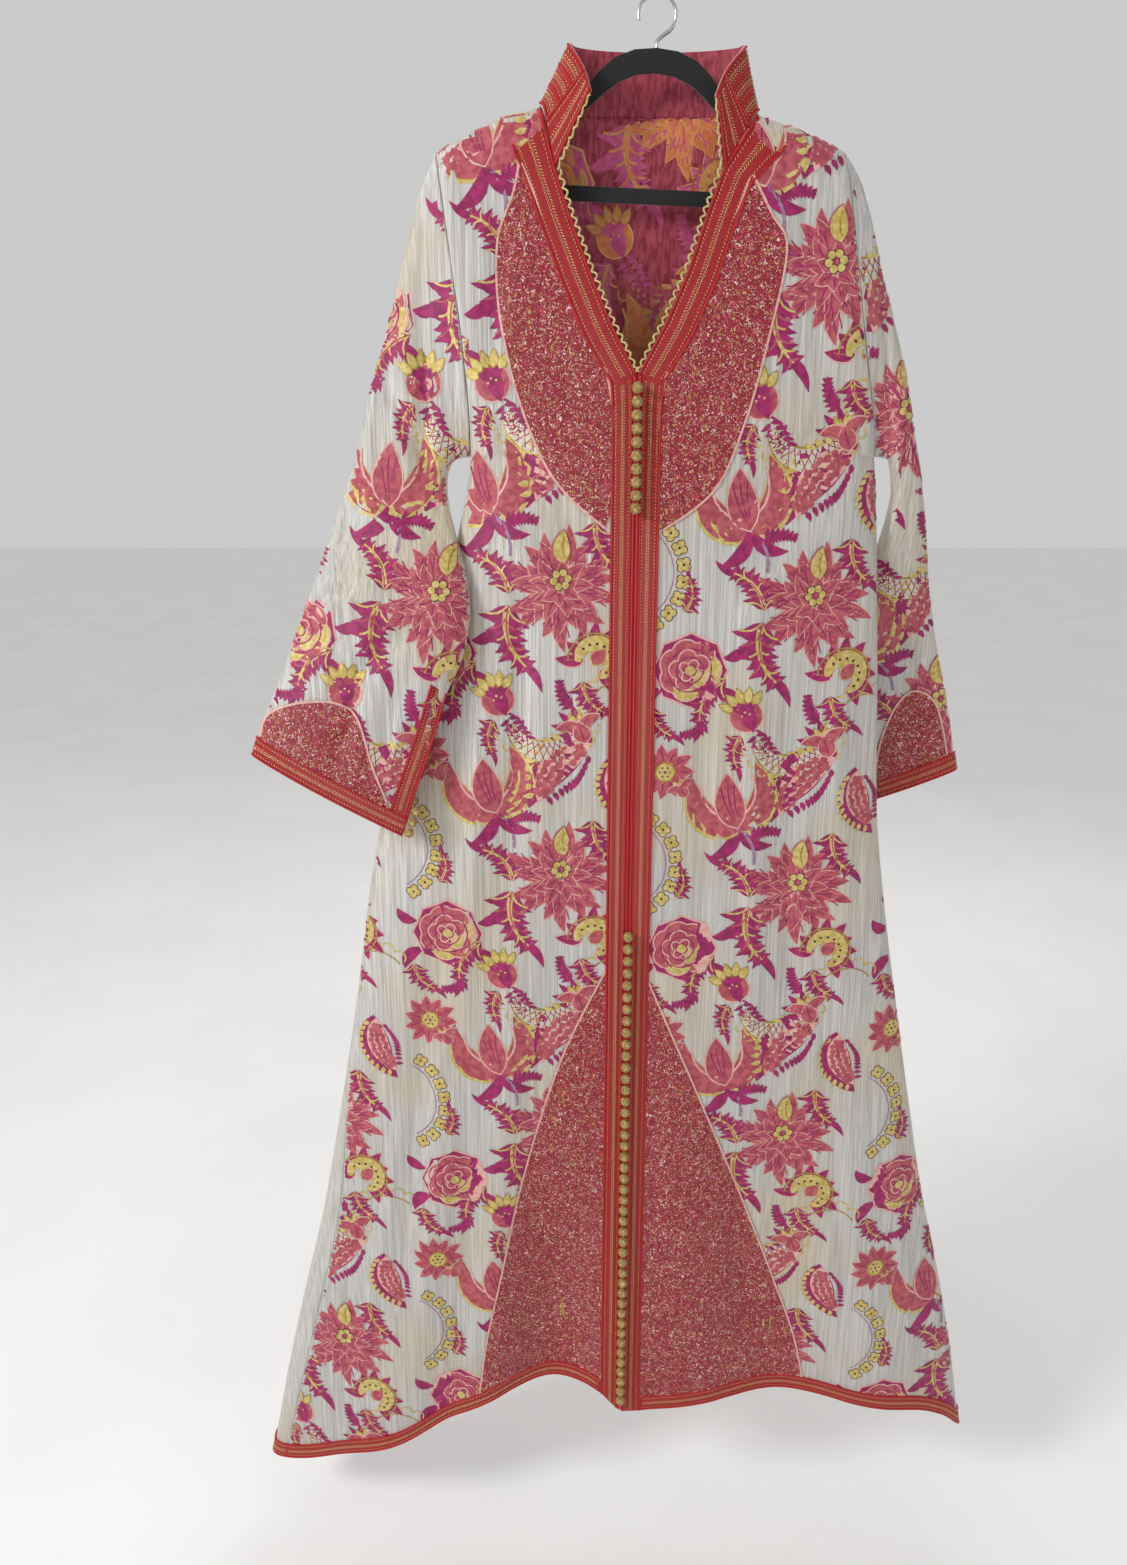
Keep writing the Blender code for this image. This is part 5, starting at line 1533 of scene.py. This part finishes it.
class Builder:
    """Points and faces of one joined piece, with a slot number for each face."""

    def __init__(self):
        self.points, self.faces, self.slots, self.count = [], [], [], 0

    def add(self, points, faces, slot):
        self.points.append(np.asarray(points).reshape(-1, 3))
        self.faces += [tuple(int(i) + self.count for i in face) for face in faces]
        self.slots += [slot] * len(faces)
        self.count += len(self.points[-1])

    def sheet(self, points, slot):
        """A grid of points, given as rows and columns."""
        self.add(points, grid_faces(points.shape[0], points.shape[1]), slot)

    def rings(self, points, slot):
        """Closed rings of points joined one to the next, with a cap at each end."""
        number, sides = points.shape[:2]
        faces = []
        for k in range(number - 1):
            for j in range(sides):
                i = (j + 1) % sides
                faces.append((k * sides + j, k * sides + i, (k + 1) * sides + i, (k + 1) * sides + j))
        last = (number - 1) * sides
        faces.append(tuple(range(sides))[::-1])
        faces.append(tuple(last + j for j in range(sides)))
        self.add(points, faces, slot)

    def tube(self, path, radius, slot, sides=6, up=(0, 1, 0.2)):
        """A round cord with closed ends."""
        path = np.asarray(path, dtype=float)
        along = unit(np.gradient(path, axis=0))
        side = unit(np.cross(along, np.array(up)))
        other = np.cross(along, side)
        turn = np.linspace(0, 2 * math.pi, sides, endpoint=False)
        ring = side[:, None] * np.cos(turn)[None, :, None] + other[:, None] * np.sin(turn)[None, :, None]
        self.rings(path[:, None] + ring * radius, slot)

    def stitches(self, start, end, normal, half, height, slot):
        """Pointed raised stitches between arrays of starts and ends."""
        middle = (start + end) / 2
        side = unit(np.cross(end - start, normal)) * half
        corners = [start, middle + side, end, middle - side, middle + normal * height]
        faces = []
        for a in range(0, 5 * len(start), 5):
            faces += [(a, a + 1, a + 4), (a + 1, a + 2, a + 4), (a + 2, a + 3, a + 4), (a + 3, a, a + 4)]
        self.add(np.stack(corners, axis=1), faces, slot)

    def make(self, name, materials, nodes=()):
        item = new_object(name, np.concatenate(self.points), self.faces, materials, self.slots)
        edit_mesh(item, lambda mesh: bmesh.ops.recalc_face_normals(mesh, faces=mesh.faces))
        return wear(item, nodes)


def braid_on(builder, band, layout, dense_reach=0.10, lift=0.0):
    """A cushioned strip with cords, rows of small slanted stitches and rows of dense chevrons."""
    cords, small_rows, dense_rows = layout
    count = max(int(band.length / BRAID_STEP), 2)
    t = np.linspace(0, band.length, count + 1)
    builder.sheet(band.spots(t[:, None], BASE_SHARES, lift + BASE_HEIGHTS), 0)
    for share in cords:
        builder.tube(band.spots(t, share, lift + CORD_HEIGHT), CORD_RADIUS, 1)
    small = np.arange(STITCH_PITCH, band.length - STITCH_PITCH, STITCH_PITCH)
    if not len(small):
        return
    reach = SMALL_REACH / band.width
    for share in small_rows:
        a = band.spots(small - SMALL_BACK, share - reach, lift + SMALL_HEIGHT)
        b = band.spots(small + SMALL_AHEAD, share + reach, lift + SMALL_HEIGHT)
        builder.stitches(a, b, band.up(small, share), STITCH_HALF, SMALL_RISE, 2)
    dense = np.arange(STITCH_PITCH, band.length - STITCH_PITCH, DENSE_PITCH)
    for share in dense_rows:
        for side in (-1, 1):
            a = band.spots(dense + DENSE_AHEAD, share, lift + DENSE_TOP)
            b = band.spots(dense - DENSE_BACK, share + side * dense_reach, lift + DENSE_FOOT)
            builder.stitches(a, b, band.up(dense, share), DENSE_HALF, DENSE_RISE, 2)


def braided(name, one, other, outward, layout):
    """One braid between two edges, which stands for the node of its name."""
    builder = Builder()
    braid_on(builder, Band(one, other, outward), layout)
    return builder.make(name, BRAID_FINISHES, [name])


def make_front_braids():
    """Neck, front and hem braids of both fronts, the edge strips, and the back's hem braid."""
    made = {"right": [], "left": [], "back": []}
    foot_row = 1 + SKIRT_ROWS + V_BOTTOM_ROW
    low = [row for row in fine_rows() if row <= foot_row]
    high = [row for row in fine_rows() if foot_row <= row < TOP_ROW - NECK_BRAID_SHORT]
    for side in SIDES:
        edges = front_grid(side, low, [FRONT_COLUMNS])
        made[side].append(braided("front_braid_" + side, edges[:, 0], edges[:, 1], FRONT, FRONT_LAYOUT))
        strip = Band(edges[:, 1], edges[:, 2], FRONT)
        t = np.linspace(0, strip.length, STRIP_STEPS)[:, None]
        builder = Builder()
        builder.sheet(strip.spots(t, STRIP_SHARES, STRIP_HEIGHTS), 0)
        made[side].append(builder.make("edge_strip_" + side, [CORD_RED], ["edge_strip_" + side]))
        edges = front_grid(side, high, [FRONT_COLUMNS])
        made[side].append(braided("neck_braid_" + side, edges[:, 0], edges[:, 2], FRONT, NECK_LAYOUT))
        hem = front_grid(side, [0, 1], [k * FRONT_COLUMNS / HEM_COLUMNS for k in range(HEM_COLUMNS + 1)])
        hem = hem[:, :-2]
        made[side].append(braided("hem_braid_front_" + side, hem[0], hem[1], FRONT, HEM_LAYOUT))
    hem = back_grid([0, 1], BACK_SIDE_STEPS, BACK_MIDDLE_STEPS)
    made["back"].append(braided("hem_braid_back", hem[0], hem[1], -FRONT, HEM_LAYOUT))
    return made


def make_sleeve_braids(side, points):
    last = len(SLEEVE_RINGS[side]) * SLEEVE_ROW_STEPS
    above = last - SLEEVE_ROW_STEPS
    cuff = points[last]
    made = [braided("cuff_braid_" + side, cuff, points[above], cuff - cuff.mean(axis=0), HEM_LAYOUT)]
    rows = slice(SLIT_RING * SLEEVE_ROW_STEPS, above + 1)
    reach = 2 * SLEEVE_COLUMN_STEPS
    for part, edge, inner, outward in (("front", 0, reach, FRONT), ("back", -1, -1 - reach, -FRONT)):
        name = "slit_braid_{}_{}".format(part, side)
        made.append(braided(name, points[rows, edge], points[rows, inner], outward, SLIT_LAYOUT))
    return made


def make_collar():
    points = collar_grid()
    normals = grid_normals(points, -FRONT)
    item = cloth_shell("collar", points, normals, ["collar"], [GROUND, WRONG])
    builder = Builder()
    foot = points[0] + (points[1] - points[0]) * COLLAR_BRAID_FOOT
    outward = np.stack([points[0, :, 0] - CENTRE_X, points[0, :, 1] * 3 + 0.001, points[0, :, 0] * 0], axis=1)
    braid_on(builder, Band(foot, points[-1], outward), COLLAR_LAYOUT, 0.055)
    for edge, inner in ((0, 5), (-1, -6)):
        end = Band(points[:, edge], points[:, inner], outward[edge])
        braid_on(builder, end, HEM_LAYOUT, lift=0.0010)
    braid = builder.make("collar_braid", BRAID_FINISHES, ["collar_braid"])
    return item, braid, points


def make_picots(collar):
    """The gold scalloped cord along the V and up the collar's front edges."""
    made = {}
    foot_row = 1 + SKIRT_ROWS + V_BOTTOM_ROW
    rows = [row for row in fine_rows() if foot_row <= row <= 1 + SKIRT_ROWS + COLLAR_ROW]
    for side, edge, inner in (("right", 0, 3), ("left", -1, -4)):
        builder = Builder()
        line = front_grid(side, rows, [FRONT_COLUMNS])
        for one, other in ((line[:, 1], line[:, 2]), (collar[:, inner], collar[:, edge])):
            band = Band(one, other, FRONT)
            number = int(band.length / PICOT_PITCH * PICOT_POINTS)
            t = np.linspace(PICOT_INSET, band.length - PICOT_INSET, number)
            swing = np.abs(np.sin(math.pi * t / PICOT_PITCH)) * PICOT_REACH / band.width
            builder.tube(band.spots(t, 1 + swing, PICOT_RADIUS), PICOT_RADIUS, 0, 5, (0.3, 1, 0.2))
        made[side] = builder.make("picot_" + side, [THREAD])
    return made


def closure_y(z):
    half_width = read_table(BODY_HALF_WIDTH["left"], z)
    return body_y("front", CENTRE_X, z, half_width, 0.0) - BRAID_LIFT - BRAID_THICK


def add_ball(builder, place, radius, dice):
    """A ball knotted from round thread: lobes that wind about a leaning axis."""
    v = np.linspace(0.02, 0.98, BALL_RINGS)[:, None] * math.pi
    u = np.linspace(0, 2 * math.pi, BALL_SIDES, endpoint=False)[None]
    way = np.stack([np.sin(v) * np.cos(u), np.sin(v) * np.sin(u), np.cos(v) + 0 * u], axis=-1)
    relief = np.abs(np.sin(3 * u + 3.2 * np.cos(v))) * np.abs(np.cos(3 * v + 0.9 * np.sin(u * 2))) ** 0.5
    size = radius * (1 - BALL_RELIEF + BALL_RELIEF * relief)
    turn, lean = dice.uniform(0, 6.28), dice.uniform(*BALL_LEAN)
    spin = np.array(((math.cos(turn), -math.sin(turn), 0), (math.sin(turn), math.cos(turn), 0), (0, 0, 1)))
    tip = np.array(((1, 0, 0), (0, math.cos(lean), -math.sin(lean)), (0, math.sin(lean), math.cos(lean))))
    builder.rings((way * size[..., None]) @ spin.T @ tip.T + np.array(place), 0)


def make_buttons(sleeves):
    dice = random.Random(BUTTON_SEED)
    upper_names = ["upper_button_{:02d}".format(k + 1) for k in range(UPPER_BUTTONS)]
    for name, number, top_z, pitch, nodes in (
            ("upper_buttons", UPPER_BUTTONS, UPPER_TOP_Z, UPPER_PITCH, upper_names),
            ("lower_button_balls", LOWER_BUTTONS, LOWER_TOP_Z, LOWER_PITCH, ["lower_buttons"])):
        builder = Builder()
        for k in range(number):
            z = top_z - k * pitch
            add_ball(builder, (CENTRE_X, closure_y(z) - BUTTON_RADIUS - BUTTON_SEAT, z), BUTTON_RADIUS, dice)
        builder.make(name, [BALL], nodes)
    for side, points in sleeves.items():
        cuff, above = points[-1, 0], points[-1 - 2 * SLEEVE_ROW_STEPS, 0]
        along = (above - cuff) / np.linalg.norm(above - cuff)
        out = np.cross(along, (0, 1, 0)) * SIDE_SIGN[side]
        out /= np.linalg.norm(out)
        builder = Builder()
        for k in range(CUFF_BUTTONS):
            place = cuff + along * (CUFF_BUTTON_RADIUS + CUFF_BUTTON_PITCH * k)
            add_ball(builder, place + out * (CUFF_BUTTON_RADIUS + BUTTON_SEAT), CUFF_BUTTON_RADIUS, dice)
        names = ["cuff_button_{}_{}".format(side, k + 1) for k in range(CUFF_BUTTONS)]
        builder.make("cuff_buttons_" + side, [BALL], names)


def mirrored(half):
    return list(half) + [(-x, z) for x, z in reversed(half) if x > 0]


def add_line(curve, places):
    line = curve.splines.new("POLY")
    line.points.add(len(places) - 1)
    for point, place in zip(line.points, places):
        point.co = (*place, 1)
    return line


def mesh_from_curve(name, curve, turned, material):
    """Turn a curve into a mesh piece that stands for the node of the same name."""
    holder = put_in_scene(name + "_outline", curve)
    holder.rotation_euler = (math.radians(90) if turned else 0, 0, 0)
    bpy.context.view_layer.update()
    graph = bpy.context.evaluated_depsgraph_get()
    data = bpy.data.meshes.new_from_object(holder.evaluated_get(graph))
    data.transform(holder.matrix_world)
    data.materials.clear()
    data.materials.append(material)
    data.shade_smooth()
    bpy.data.objects.remove(holder)
    return wear(put_in_scene(name + "_look", data), [name])


def make_hanger():
    curve = bpy.data.curves.new("hanger_curve", "CURVE")
    curve.dimensions = "2D"
    curve.fill_mode = "BOTH"
    curve.bevel_depth = HANGER_EDGE
    curve.bevel_resolution = 3
    curve.offset = -HANGER_EDGE
    curve.extrude = HANGER_THICK / 2 - HANGER_EDGE
    for outline in (mirrored(HANGER_TOP + HANGER_FOOT), mirrored(HANGER_INNER)):
        add_line(curve, [(*tilt_about_peak(x, z), 0) for x, z in outline]).use_cyclic_u = True
    mesh_from_curve("hanger", curve, True, VELVET)
    centre_z = HOOK_WIRE - HOOK_RADIUS
    foot_z = HANGER_PEAK_Z + SEAM
    start_x = HOOK_RADIUS * math.cos(HOOK_START)
    route = [(0, 0, foot_z), (0, 0, foot_z + HOOK_NECK), (start_x * HOOK_BEND[0], 0, foot_z + HOOK_BEND[1])]
    for k in range(HOOK_STEPS * 2 + 1):
        turn = HOOK_START + (HOOK_END - HOOK_START) * k / (HOOK_STEPS * 2)
        route.append((HOOK_RADIUS * math.cos(turn), 0, centre_z + HOOK_RADIUS * math.sin(turn)))
    wire = bpy.data.curves.new("hook_curve", "CURVE")
    wire.dimensions = "3D"
    wire.bevel_depth = HOOK_WIRE
    wire.bevel_resolution = 5
    wire.use_fill_caps = True
    add_line(wire, route)
    mesh_from_curve("hook", wire, False, STEEL)


def zone_on(cloth, table):
    """A speckled zone between a table's two curves, with its pale outline."""
    fine = refine_axis(np.array(table), max(2, ZONE_STEPS // len(table)))
    shares = np.linspace(0, 1, ZONE_COLUMNS + 1)[None, :, None]
    points = fine[:, None, 0:2] * (1 - shares) + fine[:, None, 2:4] * shares
    rows, columns = points.shape[:2]
    cloth.add(points.reshape(-1, 2), [tuple(f) for f in grid_faces(rows, columns)], 0, 0)
    for part in (fine[:, 2:4], fine[:, 0:2]):
        cloth.ribbon(part, ZONE_RIM, 1, 2)


front_shells = make_fronts()
back_shell = make_back()
sleeve_items, sleeve_grids = {}, {}
for side in SIDES:
    sleeve_items[side], sleeve_grids[side] = make_sleeve(side)
collar_item, collar_braid, collar_points = make_collar()
front_trims = make_front_braids()
sleeve_trims = {side: make_sleeve_braids(side, sleeve_grids[side]) for side in SIDES}
picots = make_picots(collar_points)
make_buttons(sleeve_grids)
make_hanger()

figures = {"right": [], "left": [], "back": [], "sleeve_right": [], "sleeve_left": []}
ZONE_FINISHES = [SPECKLE, WOVEN[BLUSH]]
for side in SIDES:
    tree = surface_tree(front_shells[side])
    cloth = lay_pattern(*FRONT_STRETCH[side], FRONT_SHIFT[side])
    figures[side].append(lay_on("figures_front_" + side, cloth, tree, True, WOVEN))
    cloth = Figures()
    for zone in FRONT_ZONES[side]:
        zone_on(cloth, zone)
    figures[side].append(lay_on("zones_front_" + side, cloth, tree, True, ZONE_FINISHES,
                                SPECKLE_LIFT))
tree = surface_tree(back_shell)
cloth = lay_pattern(*BACK_STRETCH, BACK_SHIFT)
figures["back"].append(lay_on("figures_back", cloth, tree, False, WOVEN))
cloth = lay_pattern(*NECK_STRETCH, BACK_SHIFT)
figures["back"].append(lay_on("figures_inside", cloth, tree, True, WOVEN_WRONG, inside=True))
cloth = lay_pattern(*HEM_STRETCH, BACK_SHIFT)
figures["back"].append(lay_on("figures_inside_hem", cloth, tree, True, WOVEN_WRONG, inside=True,
                              keep=lambda x, z: z < HEM_STRETCH_TOP))
for side in SIDES:
    tree = surface_tree(sleeve_items[side])
    for part, from_front in (("front", True), ("back", False)):
        cloth = lay_pattern(*SLEEVE_STRETCH[side], SLEEVE_SHIFT[side], SLEEVE_LEAN[side])
        name = "figures_sleeve_{}_{}".format(part, side)
        figures["sleeve_" + side].append(lay_on(name, cloth, tree, from_front, WOVEN))
    cloth = Figures()
    zone_on(cloth, CUFF_ZONES[side])
    figures["sleeve_" + side].append(lay_on("zone_cuff_" + side, cloth, tree, True, ZONE_FINISHES,
                                            SPECKLE_LIFT))

floor_data = bpy.data.meshes.new("floor")
floor_data.from_pydata([(x, y, FLOOR_Z) for x, y in FLOOR_CORNERS], [], [(0, 1, 2, 3)])
floor_data.materials.append(finish("floor_pale", "F2F1EF", "F5F4F2", 3.0, 0.9, bump=0.00001, thread=60.0))
floor = put_in_scene("floor", floor_data)
for name, place, aim, power, size in LAMPS:
    lamp_data = bpy.data.lights.new(name, "AREA")
    lamp_data.energy = power
    lamp_data.size = size
    lamp = put_in_scene(name, lamp_data)
    lamp.location = place
    lamp.rotation_euler = (Vector(aim) - Vector(place)).to_track_quat("-Z", "Y").to_euler()

scene = bpy.context.scene
scene.view_settings.view_transform = "Standard"
world = bpy.data.worlds.new("studio")
world.use_nodes = True
backdrop = world.node_tree.nodes["Background"]
backdrop.inputs["Color"].default_value = WORLD_COLOUR
backdrop.inputs["Strength"].default_value = WORLD_LIGHT
scene.world = world
camera_data = bpy.data.cameras.new("camera")
camera_data.lens = CAMERA_LENS
camera_data.sensor_width = CAMERA_SENSOR
camera_data.sensor_fit = "AUTO"
camera = put_in_scene("camera", camera_data)
camera.location = CAMERA_PLACE
camera.rotation_euler = (math.radians(90 - CAMERA_PITCH_DOWN), 0, 0)
scene.camera = camera
